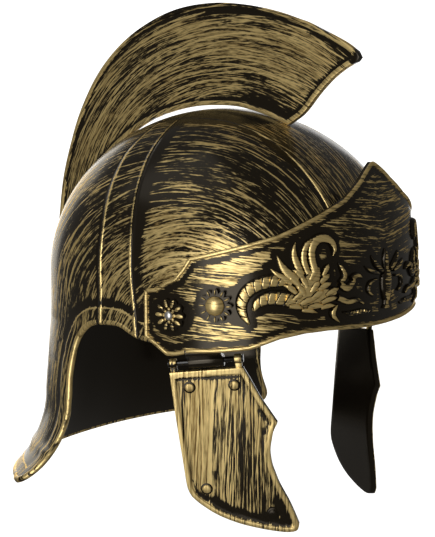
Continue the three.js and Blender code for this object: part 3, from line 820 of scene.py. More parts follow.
def buildCrest():
    size = crest["height"]
    lift = crest["seat"]
    horn = [crestPoint(a, lift + h * size) for a, h in zip(crest["hornAngle"], crest["hornHeight"])]
    arc = [crestPoint(a, lift + h * size) for a, h in zip(crest["arcAngle"], crest["arcHeight"])]
    heel = [crestPoint(a, lift + h * size) for a, h in zip(crest["heelAngle"], crest["heelHeight"])]
    under = [crestPoint(a, lift + g) for a, g in zip(crest["arcAngle"], crest["arcLift"])][::-1]
    front = smoothPath(horn[:7], 40)
    top = smoothPath(horn[8:] + arc + heel[:3], 150)
    below = smoothPath(heel[3:] + under, 90)
    outline = np.vstack([front, [horn[7]], top, below, [crestPoint(-23, lift)]])
    piece = borderedPlate("crest", outline, crest["plate"], crest["border"], crest["borderWidth"])
    piece.data.transform(Matrix(((0, 0, 1, 0), (1, 0, 0, 0), (0, 1, 0, 0), (0, 0, 0, 1))))
    piece.data.update()
    smooth(piece, 30)
    return piece, outline


# Splits the long flat faces so that values kept on vertices have somewhere to sit.
def denseFaces(piece, length):
    makeActive(piece)
    bpy.ops.object.mode_set(mode="EDIT")
    bpy.ops.mesh.select_all(action="SELECT")
    bpy.ops.mesh.quads_convert_to_tris()
    bpy.ops.object.mode_set(mode="OBJECT")
    mesh = bmesh.new()
    mesh.from_mesh(piece.data)
    for _ in range(6):
        long = [e for e in mesh.edges if e.calc_length() > length]
        if not long:
            break
        bmesh.ops.subdivide_edges(mesh, edges=long, cuts=1)
        bmesh.ops.triangulate(mesh, faces=[f for f in mesh.faces if len(f.verts) > 3])
    mesh.to_mesh(piece.data)
    mesh.free()


crestMarks = {
    "topStrip": 0.12, "topStripIn": (0.0045, 0.0062), "topStripReach": (0.14, 0.15),
    "topStripTurn": (-14, -8, 26, 34),
    "lowCorner": 0.45, "lowCornerReach": (0.108, 0.126), "lowCornerTurn": (-28, -25, -14, -6),
    "lowCornerIn": (0.002, 0.004), "groove": 0.6, "grooveAt": 0.0040, "grooveWidth": 0.0009,
    "tip": 0.7, "tipAt": (-35.9, 0.92), "tipRadius": 0.0055, "borderGold": 0.38, "borderEnd": 0.0031,
}


def markCrest(piece, outline):
    marks = crestMarks
    flat = vertexArray(piece)[:, 1:3]
    inFromEdge = nearLine(flat, outline[::2], closed=True)
    turn = np.degrees(np.arctan2(flat[:, 0], flat[:, 1]))
    reach = np.linalg.norm(flat, axis=1)
    topStrip = (1 - ramp(inFromEdge, *marks["topStripIn"])) * ramp(reach, *marks["topStripReach"]) \
        * plateau(turn, *marks["topStripTurn"])
    lowCorner = (1 - ramp(reach, *marks["lowCornerReach"])) * plateau(turn, *marks["lowCornerTurn"]) \
        * ramp(inFromEdge, *marks["lowCornerIn"])
    groove = marks["groove"] * hump(inFromEdge, marks["grooveAt"], marks["grooveWidth"])
    tip = np.array(crestPoint(marks["tipAt"][0], marks["tipAt"][1] * crest["height"]))
    tipDark = marks["tip"] * hump(np.linalg.norm(flat - tip, axis=1), 0, marks["tipRadius"])
    setFloat(piece, "bare", np.max([marks["topStrip"] * topStrip, marks["lowCorner"] * lowCorner,
                                    groove, tipDark], axis=0))
    setFloat(piece, "edge", marks["borderGold"] * (inFromEdge < marks["borderEnd"]) * (1 - 0.8 * topStrip))


crestPiece, crestEdge = buildCrest()
denseFaces(crestPiece, 0.004)
markCrest(crestPiece, crestEdge)
crestPaint = brushedMaterial("crest brushed", arcStrokes, crest["strokes"], crest["coverage"])
finishPiece(crestPiece, crestPaint, "shell", "crest")
print("crest", len(crestPiece.data.polygons))


# brow band

band = {
    "wall": 0.003, "skin": 0.0004, "peak": 0.077, "lower": 0.034, "lean": 0.09,
    "bead": 0.0013, "columns": 340, "rows": 40, "rearAngle": 85, "relief": 0.0026,
    "reliefSunk": 0.0004, "strokes": {"Arm": 0.12, "Rise": -0.12, "Upright": 0.0}, "coverage": 0.54,
    "angle": [0, 7, 15, 24, 33, 42, 52, 62, 71.5, 73.5, 76, 78.5, 81.5, 85],
    "top": [1.0, 0.86, 0.74, 0.66, 0.58, 0.5, 0.44, 0.38, 0.32, 0.24, 0.16, 0.13, 0.07, 0.05],
    "bottom": [0.56, 0.55, 0.52, 0.5, 0.52, 0.6, 0.78, 0.85, 0.9, 0.93, 0.97, 0.99, 0.86, 0.71],
}


def bandSurface(degrees, level, outside):
    degrees, level, outside = np.broadcast_arrays(
        np.asarray(degrees, float), np.asarray(level, float), np.asarray(outside, float))
    offset = band["skin"] + outside
    x, y = planPoint(skull["halfWidth"] + offset, skull["halfLength"] + offset,
                     skull["planPower"], np.radians(-degrees))
    lean = 1 - band["lean"] * (np.maximum(0, level) / band["peak"]) ** 2
    return np.stack([x * lean, y * lean, level], axis=-1)


def bandEdges(degrees):
    side = np.abs(degrees)
    return (band["peak"] * np.interp(side, band["angle"], band["top"]),
            -band["lower"] * np.interp(side, band["angle"], band["bottom"]))


arcAngle = np.linspace(-90, 90, 721)
arcPoint = bandSurface(arcAngle, 0, band["wall"])
arcRun = np.r_[0, np.cumsum(np.linalg.norm(np.diff(arcPoint, axis=0), axis=1))]
arcRun -= np.interp(0, arcAngle, arcRun)


# A point of the band given by its distance round from the front middle.
def bandFromFlat(run, level, outside):
    return bandSurface(np.interp(run, arcRun, arcAngle), level, outside)


def evenAngles(count):
    limit = np.interp(band["rearAngle"], arcAngle, arcRun)
    return np.interp(np.linspace(-limit, limit, count), arcRun, arcAngle)


def buildBand():
    angles = evenAngles(band["columns"])
    top, bottom = bandEdges(angles)
    rows = band["rows"]
    shares = np.linspace(0, 1, rows)
    outer = [bandSurface(angles, bottom + (top - bottom) * s, band["wall"]) for s in shares]
    inner = [bandSurface(angles, bottom + (top - bottom) * s, 0) for s in shares[::-3]]
    rings = np.stack(outer + inner, axis=1)
    points = rings.reshape(-1, 3)
    across = rings.shape[1]
    faces = gridFaces(len(angles), across, closedRows=True)
    faces.append(tuple(range(across)))
    faces.append(tuple(range((len(angles) - 1) * across, len(angles) * across)))
    wall = meshPiece("band wall", points, faces)

    inset = band["bead"] * 0.75
    run = np.interp(angles, arcAngle, arcRun)
    limit = run[-1] - inset
    sideRun = np.clip(run, -limit, limit)
    rearTop, rearBottom = top[-1] - inset, bottom[-1] + inset
    upright = np.linspace(rearTop, rearBottom, 12)
    loopRun = np.r_[sideRun, np.full(12, limit), sideRun[::-1], np.full(12, -limit)]
    loopLevel = np.r_[top - inset, upright, (bottom + inset)[::-1], upright[::-1]]
    keep = np.r_[True, np.hypot(np.diff(loopRun), np.diff(loopLevel)) > 2e-4]
    loopRun, loopLevel = loopRun[keep], loopLevel[keep]
    edge = bandFromFlat(loopRun, loopLevel, band["wall"])
    outward = bandFromFlat(loopRun, loopLevel, band["wall"] + 0.01) - edge
    bead = tube("band bead", edge, outward, band["bead"], 0.85, closed=True)
    return wall, bead, np.stack([loopRun, loopLevel], axis=1)


# Relief strokes of one side: plan angle from the front middle in degrees, level and
# half width in millimetres, rings across the stroke, and how far it stands out.
beast = {
    "tail": {"angle": [52.3, 54.4, 54.9, 53.6, 50.6, 46.6, 42.8, 39.5],
             "level": [-12, -6, 0, 5.5, 9.8, 12.4, 13.2, 12.6],
             "half": [0.8, 2.8, 3.7, 4.1, 4.2, 4.2, 4.0, 3.0], "rings": 9, "rise": 1.0},
    "coil": {"angle": [51.0, 49.2, 45.4, 41.4, 37.4, 33.5], "level": [-3.8, 0.6, 3.2, 3.0, 1.8, 0.6],
             "half": [1.2, 3.4, 4.4, 4.8, 4.8, 4.0], "rings": 6, "rise": 1.05},
    "belly": {"angle": [40, 36, 31, 26, 21.4], "level": [0.5, 1, 2, 3, 5],
              "half": [2.5, 5.0, 6.6, 6.2, 1.6], "rise": 0.85},
    "chest": {"angle": [33.5, 31.2, 29.4, 28.6], "level": [6, 11, 16, 20],
              "half": [6.0, 6.4, 4.6, 2.0], "rise": 0.85},
    "hook": {"angle": [29.4, 30.6, 30.4, 28.4, 25.2, 22.6, 21.6, 22.2],
             "level": [18, 25, 31, 35.4, 36.2, 33.8, 29.6, 26],
             "half": [2.4, 2.6, 2.8, 3.0, 2.9, 2.3, 1.5, 0.3], "rise": 1.2},
    "quillOne": {"angle": [32.0, 33.4, 33.4, 32.0, 29.8], "level": [17, 23, 29, 33.5, 36.2],
                 "half": [2.0, 2.2, 2.2, 1.8, 0.5], "rise": 1.05},
    "quillTwo": {"angle": [34.4, 36.0, 37.0, 37.0, 36.2], "level": [16, 22, 27, 31, 34.6],
                 "half": [2.2, 2.5, 2.2, 1.4, 0.2], "rise": 1.0},
    "quillThree": {"angle": [36.2, 39.4, 41.6, 43.0], "level": [13, 17.5, 22, 27.4],
                   "half": [3.4, 3.0, 2.0, 0.2], "rise": 1.0},
    "quillFour": {"angle": [38.0, 41.0, 43.6, 45.6], "level": [11.6, 14.8, 17.4, 20.6],
                  "half": [2.4, 2.2, 1.4, 0.2], "rise": 0.95},
    "horn": {"angle": [20.0, 18.6, 17.6, 19.4], "level": [21.4, 18, 13.6, 10.0],
             "half": [0.2, 1.4, 1.9, 1.6], "rise": 1.0},
    "crescent": {"angle": [19.4, 22.0, 22.3, 20.4], "level": [-13.2, -9.4, -6, -2.4],
                 "half": [0.2, 1.6, 1.8, 0.4], "rise": 1.1},
    "neck": {"angle": [19.4, 16.4, 13.6], "level": [9.0, 6.4, 10.5],
             "half": [2.2, 2.6, 1.6], "rise": 1.0},
    "beak": {"angle": [14.6, 12.2, 9.6], "level": [11.4, 13.2, 10.4],
             "half": [2.0, 1.7, 0.3], "rise": 1.1},
    "foreleg": {"angle": [20.4, 16.2, 12.2, 9.4], "level": [1.6, -1.6, -1.2, -4.0],
                "half": [2.4, 2.0, 1.5, 0.8], "rise": 1.0},
    "claw": {"angle": [18.0, 14.6, 10.4, 6.8], "level": [-7.4, -8.8, -8.6, -9.4],
             "half": [0.6, 1.7, 1.8, 1.0], "rings": 4, "rise": 0.9},
}
# Pointed leaves that overlap on the body: root, tip and half width, in the same measures.
leaves = [
    ((26.5, 15), (24.0, 21.5), 1.9), ((30.0, 17), (31.4, 24.0), 2.2), ((34.0, 14), (37.6, 19.0), 2.3),
    ((27.6, 11), (23.6, 15.6), 2.2), ((31.4, 13), (28.6, 19.4), 2.2), ((35.4, 10), (39.6, 15.2), 2.4),
    ((32.6, 9), (35.4, 15.2), 2.2), ((28.4, 7), (23.0, 10.6), 2.3), ((36.6, 6), (41.0, 10.6), 2.2),
    ((31.2, 6), (27.8, 12.6), 2.3), ((33.6, 4.6), (36.8, 10.2), 2.3), ((25.6, 3.6), (20.0, 7.0), 2.0),
    ((37.6, 2), (33.0, 6.6), 2.2), ((31.6, 1.2), (26.0, 6.6), 2.4), ((35.0, -0.6), (29.4, 2.4), 2.4),
    ((27.4, -0.4), (20.6, 1.8), 2.2), ((39.0, -1.4), (33.4, -3.4), 2.0), ((32.4, -2.6), (25.2, -2.6), 2.2),
    ((27.6, -3.4), (21.2, -2.6), 1.9), ((34.6, -4.0), (28.4, -6.2), 1.8),
]
for number, (root, tip, half) in enumerate(leaves):
    middle = (0.5 * (root[0] + tip[0]) - 0.05 * (tip[1] - root[1]), 0.5 * (root[1] + tip[1]) + 0.8)
    beast["leaf%d" % number] = {
        "angle": [root[0], middle[0], tip[0]], "level": [root[1], middle[1], tip[1]],
        "half": [half * 0.7, half, 0.2], "rise": 1.0 + 0.022 * number}
# The urn between them: each stroke is mirrored too, apart from those on the middle line.
urn = {
    "body": {"angle": [0, 0, 0, 0], "level": [-5, 1, 8, 13.5], "half": [2.0, 4.6, 5.2, 2.2],
             "rise": 1.25},
    "foot": {"angle": [0, 0, 0], "level": [-9.8, -7.6, -5], "half": [4.4, 2.2, 1.8], "rise": 0.9},
    "flame": {"angle": [0, 0, 0], "level": [13, 19, 26], "half": [2.2, 2.6, 0.3], "rise": 0.9},
    "leafOne": {"angle": [1.2, 3.6, 5.4], "level": [13, 17.6, 23.2], "half": [1.4, 1.9, 0.3], "rise": 0.9},
    "leafTwo": {"angle": [2.6, 5.8, 8.6], "level": [12, 14.4, 17.6], "half": [1.2, 1.6, 0.3], "rise": 0.9},
    "handle": {"angle": [3.2, 6.2, 7.0, 4.8], "level": [8.6, 7.4, 2.6, -1.0],
               "half": [0.9, 1.2, 1.2, 0.8], "rise": 0.9},
}


# A tapered raised stroke with a round back, laid on the band's face.
def reliefStroke(name, stroke, sign):
    run = np.interp(np.array(stroke["angle"], float), arcAngle, arcRun)
    knots = np.stack([run, np.array(stroke["level"]) / 1000, np.array(stroke["half"]) / 1000], axis=1)
    line = smoothPath(knots, 14 * (len(run) - 1) + 1)
    path, half = line[:, :2], np.maximum(line[:, 2], 1e-4)
    forward = np.gradient(path, axis=0)
    forward /= np.linalg.norm(forward, axis=1)[:, None]
    side = np.stack([-forward[:, 1], forward[:, 0]], axis=1)
    share = np.linspace(0, 1, len(path))
    rings = stroke.get("rings", 0)
    swell = 1 - 0.45 * ((share * rings) % 1) if rings else np.ones(len(path))
    turns = np.linspace(0, math.pi, 11)
    run = np.r_[0, np.cumsum(np.linalg.norm(np.diff(path, axis=0), axis=1))]
    points = []
    for place, width, out, step in zip(path, half, side, swell):
        peak = band["relief"] * stroke["rise"] * step * min(1, 0.35 + width / 0.0022)
        for turn in turns:
            sway = place + out * width * math.cos(turn)
            rise = peak * math.sin(turn) ** 0.7 - band["reliefSunk"]
            points.append(bandFromFlat(sign * sway[0], sway[1], band["wall"] + rise))
    rows = len(turns)
    faces = gridFaces(len(path), rows)
    faces.append(tuple(range(rows)))
    faces.append(tuple(range((len(path) - 1) * rows, len(path) * rows)))
    piece = meshPiece(name, points, faces)
    made = vertexArray(piece)
    order = np.argmin(np.linalg.norm(made[:, None] - np.array(points)[None], axis=2), axis=1)
    setFloat(piece, "along", run[order // rows])
    setFloat(piece, "across", np.cos(turns[order % rows]))
    setFloat(piece, "pitch", np.full(len(made), run[-1] / rings if rings else 0.0))
    return piece, path, half


wallPiece, beadPiece, bandOutline = buildBand()
reliefPieces = []
reliefReach = []
for label, stroke in list(beast.items()) + list(urn.items()):
    sides = (1,) if label in ("body", "foot", "flame") else (1, -1)
    for sign in sides:
        made, path, half = reliefStroke(label, stroke, sign)
        reliefPieces.append(made)
        reliefReach.append(np.column_stack([path * (sign, 1), half]))
reliefReach = np.vstack(reliefReach)
print("relief strokes", len(reliefPieces))


# Distance round the band and level of points near it.
def flatOfBand(points):
    x, y, z = points.T
    lean = 1 - band["lean"] * (np.maximum(0, z) / band["peak"]) ** 2
    x, y = x / lean, y / lean
    power = skull["planPower"]
    s = signedPower(x / (skull["halfWidth"] + band["wall"]), power / 2)
    c = signedPower(-y / (skull["halfLength"] + band["wall"]), power / 2)
    return np.interp(np.degrees(-np.arctan2(s, c)), arcAngle, arcRun), z


rosettes = {
    "rearAngle": 77.4, "rearLevel": -0.0095, "frontAngle": 63, "frontLevel": -0.0016,
    "radius": 0.0102, "rearThick": 0.0022, "frontThick": 0.0045, "petals": 10, "points": 12,
    "boss": 0.0057, "rivet": 0.0027, "rivetRise": 0.0016, "seat": 0.0003,
    "shank": 0.0015, "shankLength": 0.0096, "shankUp": 0.0008,
    "strokes": {"Arm": 0.1, "Rise": 0.0, "Upright": 0.0}, "coverage": 0.5,
}


bandMarks = {
    "nearRelief": 0.8, "nearReliefOut": (0.0012, 0.0045),
    "groove": 0.55, "grooveAt": 0.0036, "grooveWidth": 0.0012,
    "nearRosette": 0.85, "rearField": 0.014, "frontField": 0.0125, "fieldSquash": 1.25, "fieldSoft": 0.002,
    "gap": 0.8, "gapAngle": 57.5, "gapLevel": -0.001, "gapSquash": 1.3, "gapOut": (0.008, 0.012),
    "front": 0.14, "frontFrom": (0.02, 0.09), "inside": 3.0, "beadGold": 0.42, "beadBack": 0.35,
    "topGold": 0.66, "topRise": (0.0008, 0.0020), "topAcross": (0.5, 0.85),
    "foot": 0.7, "footRise": (0.0004, 0.0013), "flank": 0.75, "flankAcross": (0.68, 0.95),
    "reliefFront": (0.03, 0.062), "reliefFrontLess": 0.6, "reliefFrontBare": 0.12,
}


def markBand(piece, part):
    marks = bandMarks
    points = vertexArray(piece)
    run, level = flatOfBand(points)
    outside = np.linalg.norm(points[:, :2], axis=1) - np.linalg.norm(
        bandFromFlat(run, level, 0)[:, :2], axis=1)
    inner = outside < band["wall"] * 0.6
    flat = np.stack([run, level], axis=1)
    fromEdge = nearLine(flat, bandOutline[::3], closed=True)
    bare = np.zeros(len(points))
    edge = np.zeros(len(points))
    if part == "wall":
        nearRelief = np.full(len(points), 1e9)
        for x, y, half in reliefReach:
            nearRelief = np.minimum(nearRelief, np.hypot(run - x, level - y) - half)
        bare = marks["nearRelief"] * (1 - ramp(nearRelief, *marks["nearReliefOut"]))
        bare = np.maximum(bare, marks["groove"] * hump(fromEdge, marks["grooveAt"], marks["grooveWidth"]))
        for end in ("rear", "front"):
            place = np.interp(rosettes[end + "Angle"], arcAngle, arcRun)
            field, soft = marks[end + "Field"], marks["fieldSoft"]
            for sign in (1, -1):
                away = np.hypot(run - sign * place, (level - rosettes[end + "Level"]) * marks["fieldSquash"])
                bare = np.maximum(bare, marks["nearRosette"] * (1 - ramp(away, field - soft, field + soft)))
        place = np.interp(marks["gapAngle"], arcAngle, arcRun)
        away = np.hypot((np.abs(run) - place) * marks["gapSquash"], level - marks["gapLevel"])
        bare = np.maximum(bare, marks["gap"] * (1 - ramp(away, *marks["gapOut"])))
        bare = np.maximum(bare, marks["front"] * (1 - ramp(np.abs(run), *marks["frontFrom"])))
        bare = np.where(inner, marks["inside"], bare)
    elif part == "bead":
        edge = np.full(len(points), marks["beadGold"])
        bare = np.where(outside < band["wall"] * 0.9, marks["beadBack"], 0.0)
    else:
        rise = outside - band["wall"]
        across = np.zeros(len(points))
        piece.data.attributes["across"].data.foreach_get("value", across)
        edge = marks["topGold"] * ramp(rise, *marks["topRise"])
        edge = edge * (1 - ramp(np.abs(across), *marks["topAcross"]))
        bare = np.maximum(marks["foot"] * (1 - ramp(rise, *marks["footRise"])),
                          marks["flank"] * ramp(np.abs(across), *marks["flankAcross"]))
        front = 1 - ramp(np.abs(run), *marks["reliefFront"])
        edge = edge * (1 - marks["reliefFrontLess"] * front)
        bare = bare + marks["reliefFrontBare"] * front
    setFloat(piece, "bare", bare)
    setFloat(piece, "edge", edge)


reliefPiece = joinInto("relief", reliefPieces)
markBand(wallPiece, "wall")
markBand(beadPiece, "bead")
markBand(reliefPiece, "relief")


# cheek guards, hinges and their frame

guard = {
    "reach": 0.0552, "drop": 0.1077, "plate": 0.0028, "border": 0.0040, "borderWidth": 0.0030,
    "toeIn": 31, "lean": 7.5, "tilt": 6, "side": 0.083, "forward": 0.048, "level": -0.0378,
    "span": 0.0385, "knuckleLength": 0.004, "knuckle": 0.0029, "barrelFrom": -0.010, "barrelTo": 0.011,
    "barrel": 0.0039, "pin": 0.0016, "stud": 0.0027, "studRise": 0.0010,
    "collar": 0.0037, "collarRise": 0.0003, "lugRoot": (0.0112, 0.011), "lugBare": 0.75,
    "pinPlay": 0.0006, "pinInHeads": 0.001, "pinHead": 0.0025, "pinHeadLength": 0.0008,
    "strokes": {"Arm": 0.1, "Rise": 0.0, "Upright": 1.0}, "coverage": 0.56,
    "ahead": [-0.39, 0.4, 0.49, 0.58, 0.68, 0.765, 0.725, 0.705, 0.687, 0.708, 0.745, 0.783,
              0.845, 0.89, 0.95, 1.0, 0.98, 0.92, 0.813, 0.6, 0.341, 0.11, -0.069, -0.172,
              -0.225, -0.27, -0.333, -0.377],
    "down": [0.07, 0.028, 0.11, 0.197, 0.278, 0.345, 0.39, 0.44, 0.516, 0.598, 0.655, 0.707,
             0.77, 0.814, 0.885, 0.951, 0.985, 0.998, 1.0, 0.987, 0.958, 0.912, 0.854, 0.808,
             0.747, 0.576, 0.329, 0.122],
    "studAhead": [-0.176, 0.306, -0.011, 0.714], "studDown": [0.152, 0.13, 0.755, 0.89],
}


def guardMatrix():
    toe, lean = math.radians(guard["toeIn"]), math.radians(guard["lean"])
    forward = Vector((math.sin(toe), -math.cos(toe), 0))
    outward = Vector((-math.cos(toe) * math.cos(lean), -math.sin(toe) * math.cos(lean), -math.sin(lean)))
    up = outward.cross(forward)
    matrix = Matrix((forward, up, outward)).transposed().to_4x4()
    matrix.translation = (-guard["side"], -guard["forward"], guard["level"])
    return matrix


# Stands a Z cylinder along the hinge line at this distance from its middle.
def axisMatrix(place):
    tilt = Matrix.Rotation(math.radians(guard["tilt"]), 4, "Z")
    return tilt @ Matrix.Translation((place, 0, 0)) @ Matrix.Rotation(math.radians(90), 4, "Y")


def roller(name, radius, length, place, sides=32, bevel=0.0004):
    deselectAll()
    bpy.ops.mesh.primitive_cylinder_add(vertices=sides, radius=radius, depth=length)
    piece = bpy.context.object
    piece.name = name
    bevelled(piece, bevel, 2, 50)
    piece.data.transform(axisMatrix(place))
    return piece


def guardPlaces(ahead, down):
    return np.stack([np.array(guard[ahead]) * guard["reach"], -np.array(guard[down]) * guard["drop"]], axis=1)


def guardOutline():
    knots = guardPlaces("ahead", "down")
    parts = [knots[0:2], smoothPath(knots[1:6], 30)[1:], smoothPath(knots[5:16], 60)[1:],
             smoothPath(knots[15:24], 60)[1:], smoothPath(np.vstack([knots[23:], knots[:1]]), 40)[1:-1]]
    return np.vstack(parts)


def flatStud(x, y, z, radius, rise):
    deselectAll()
    bpy.ops.mesh.primitive_cylinder_add(vertices=32, radius=radius, depth=2 * rise)
    piece = bpy.context.object
    bevelled(piece, rise * 0.6, 3, 50)
    piece.data.transform(Matrix.Translation((x, y, z)))
    return piece


def domeOn(level, radius, rise):
    deselectAll()
    bpy.ops.mesh.primitive_uv_sphere_add(segments=28, ring_count=14, radius=radius)
    piece = bpy.context.object
    piece.data.transform(Matrix.Translation((0, 0, level)) @ Matrix.Diagonal((1, 1, rise / radius, 1)))
    return piece


def buildGuard():
    outline = guardOutline()
    plate = borderedPlate("guardPlate", outline, guard["plate"], guard["border"], guard["borderWidth"],
                          backFlat=True)
    denseFaces(plate, 0.004)
    parts = [plate]
    for x, y in guardPlaces("studAhead", "studDown"):
        for radius, rise in ((guard["stud"], guard["studRise"]), (guard["collar"], guard["collarRise"])):
            parts.append(flatStud(x, y, guard["plate"] / 2, radius, rise))
    for side in (-1, 1):
        place = side * guard["span"] / 2
        parts.append(roller("knuckle", guard["knuckle"], guard["knuckleLength"], place))
        deselectAll()
        bpy.ops.mesh.primitive_cube_add(size=1)
        tab = bpy.context.object
        tab.data.transform(Matrix.Rotation(math.radians(guard["tilt"]), 4, "Z")
                           @ Matrix.Translation((place, -guard["knuckle"] * 1.6, 0))
                           @ Matrix.Diagonal((guard["knuckleLength"], guard["knuckle"] * 3.0,
                                              guard["plate"] * 0.9, 1)))
        bevelled(tab, 0.0004)
        parts.append(tab)
    piece = joinInto("cheek_guard_right", parts)
    smooth(piece, 35)
    return piece, outline


guardMarks = {
    "groove": 0.45, "grooveAt": 0.0044, "grooveWidth": 0.0010,
    "lowStrip": 0.6, "lowStripIn": (0.0032, 0.0038, 0.0070, 0.0105), "lowStripDown": (0.080, 0.090),
    "shade": 0.16, "shadeLean": 0.40, "shadeWidth": 0.011, "shadeDown": (0.022, 0.050),
    "rearGold": 0.10, "rearEnd": 0.004, "ring": 1.0, "lastStud": 1.2, "inside": 3.0,
    "borderGold": 0.42, "borderEnd": 0.0031, "studGold": 0.15,
}


def markGuard(piece, outline):
    marks = guardMarks
    points = vertexArray(piece)
    x, y, z = points.T
    fromEdge = nearLine(points[:, :2], outline[::2], closed=True)
    toStud = np.array([np.hypot(x - a, y - b) for a, b in guardPlaces("studAhead", "studDown")])
    lifted = z > guard["plate"] / 2 + 0.0001
    onCollar = lifted & (toStud.min(axis=0) < guard["collar"] * 1.02)
    onStud = lifted & (toStud.min(axis=0) < guard["stud"] * 1.02)
    bare = marks["groove"] * hump(fromEdge, marks["grooveAt"], marks["grooveWidth"])
    lowStrip = plateau(fromEdge, *marks["lowStripIn"]) * ramp(-y, *marks["lowStripDown"])
    bare = np.maximum(bare, marks["lowStrip"] * lowStrip)
    bare = np.where(onCollar, marks["ring"], bare)
    bare = np.where(onStud, 0.0, bare)
    shade = hump(x + marks["shadeLean"] * y, 0, marks["shadeWidth"]) * ramp(-y, *marks["shadeDown"])
    bare = np.maximum(bare, marks["shade"] * shade)
    bare = np.where(x < marks["rearEnd"], bare - marks["rearGold"], bare)
    bare = np.where(toStud[-1] < guard["collar"] * 1.1, marks["lastStud"], bare)
    bare = np.where(z < -guard["plate"] / 2 - 1e-5, marks["inside"], bare)
    bordered = (fromEdge < marks["borderEnd"]) | (y > -0.001)
    edge = np.where(bordered, marks["borderGold"], 0.0)
    setFloat(piece, "bare", bare)
    setFloat(piece, "edge", np.where(onStud, marks["studGold"], edge))


guardPiece, guardEdge = buildGuard()
markGuard(guardPiece, guardEdge)
guardPiece.data.transform(guardMatrix())
guardPiece.data.update()
guardPaint = brushedMaterial("guard brushed", levelStrokes,
                             dict(guard["strokes"], Turn=math.radians(guard["toeIn"])), guard["coverage"])
finishPair(guardPiece, guardPaint, ("cheek_right", "cheek_left"), "cheek_guard")
print("cheek guards", len(guardPiece.data.polygons))


# The band's part of the hinge: a barrel and the web that carries it.
def buildLug():
    middle = (guard["barrelFrom"] + guard["barrelTo"]) / 2
    length = guard["barrelTo"] - guard["barrelFrom"]
    barrel = roller("barrel", guard["barrel"], length, middle, 40, 0.0005)
    r = guard["barrel"]
    rootOut, rootUp = guard["lugRoot"]
    arm = [(-r * 0.7, r * 0.6), (r * 0.85, r * 0.45), (rootOut - 0.0028, rootUp - 0.005),
           (rootOut, rootUp - 0.0036), (rootOut, rootUp), (rootOut - 0.0018, rootUp),
           (rootOut - 0.0026, rootUp - 0.0026)]
    ends = [[(x, up, out) for out, up in arm] for x in (guard["barrelFrom"], guard["barrelTo"])]
    web = meshPiece("web", ends[0] + ends[1], prismFaces(len(arm)))
    web.data.transform(Matrix.Rotation(math.radians(guard["tilt"]), 4, "Z"))
    bevelled(web, 0.0005)
    lug = joinInto("lug right", [barrel, web])
    lug.data.transform(guardMatrix())
    setFloat(lug, "bare", np.full(len(lug.data.vertices), guard["lugBare"]))
    setFloat(lug, "edge", np.zeros(len(lug.data.vertices)))
    return lug


lugRight = buildLug()
lugLeft = mirroredCopy(lugRight, "lug left")
bandPiece = joinInto("brow_band", [wallPiece, beadPiece, reliefPiece, lugRight, lugLeft])
smooth(bandPiece, 40)
bandPaint = brushedMaterial("band brushed", levelStrokes, band["strokes"], band["coverage"])


ringCuts = {"bow": 0.35, "width": 0.26, "bare": 0.85, "swell": 0.6, "depth": -1.0}


# Grooves across the ringed strokes of the relief.
def cutRings(material):
    cuts = ringCuts
    tree = material.node_tree
    brush = brushOf(tree)
    bump = tree.nodes["Bump"]
    along, across, pitch = (vertexValue(tree, name) for name in ("along", "across", "pitch"))
    on = maths(tree, "GREATER_THAN", pitch, 0.0001)
    steps = maths(tree, "DIVIDE", along, maths(tree, "MAXIMUM", pitch, 0.0001))
    saw = maths(tree, "FRACT", maths(tree, "MULTIPLY_ADD", across, cuts["bow"], steps))
    groove = maths(tree, "MULTIPLY", remap(tree, saw, cuts["width"], 0.0), on)
    bare = brush.inputs["Bare"].links[0].from_socket
    tree.links.new(maths(tree, "MULTIPLY_ADD", groove, cuts["bare"], bare), brush.inputs["Bare"])
    height = bump.inputs["Height"].links[0].from_socket
    swell = maths(tree, "MULTIPLY_ADD", maths(tree, "MULTIPLY", saw, on), cuts["swell"], height)
    tree.links.new(maths(tree, "MULTIPLY_ADD", groove, cuts["depth"], swell), bump.inputs["Height"])


cutRings(bandPaint)
finishPiece(bandPiece, bandPaint, "shell", "brow_band")
print("brow_band", len(bandPiece.data.polygons))


# rosettes and rivets

def rosetteMatrix(degrees, level):
    place = bandSurface(degrees, level, band["wall"] + rosettes["seat"])
    ahead = bandSurface(degrees - 1, level, band["wall"] + rosettes["seat"]) - place
    up = Vector((0, 0, 1))
    outward = Vector(ahead).normalized().cross(up).normalized()
    if outward.x > 0:
        outward.negate()
    matrix = Matrix((up.cross(outward), up, outward)).transposed().to_4x4()
    matrix.translation = Vector(place)
    return matrix


def starOutline(count, radius, dip, steps=8):
    turns = np.linspace(0, 2 * math.pi, count * steps, endpoint=False)
    wave = np.abs(np.cos(turns * count / 2))
    reach = radius * (1 - dip * (1 - wave))
    return np.stack([reach * np.cos(turns), reach * np.sin(turns)], axis=1)


def prism(name, outline, thickness):
    points = [(x, y, 0) for x, y in outline] + [(x, y, thickness) for x, y in outline]
    return meshPiece(name, points, prismFaces(len(outline)))


def petalRing(count, middle, length, width, rise, base):
    made = []
    for i in range(count):
        turn = 2 * math.pi * i / count
        petal = domeOn(0, 1, 1)
        petal.data.transform(Matrix.Rotation(turn, 4, "Z") @ Matrix.Translation((middle, 0, base))
                             @ Matrix.Diagonal((length / 2, width / 2, rise, 1)))
        made.append(petal)
    return made


def buildRearRosette():
    size = rosettes["radius"]
    thick = rosettes["rearThick"]
    disc = prism("disc", starOutline(rosettes["petals"], size * 0.98, 0.16), thick * 0.45)
    petals = petalRing(rosettes["petals"], size * 0.68, size * 0.60, size * 0.28, thick * 0.55, thick * 0.45)
    inner = petalRing(8, size * 0.34, size * 0.30, size * 0.22, thick * 0.5, thick * 0.6)
    collar = domeOn(thick * 0.45, size * 0.30, thick * 0.5)
    return joinInto("rosette_rear_right", [disc, collar] + petals + inner)


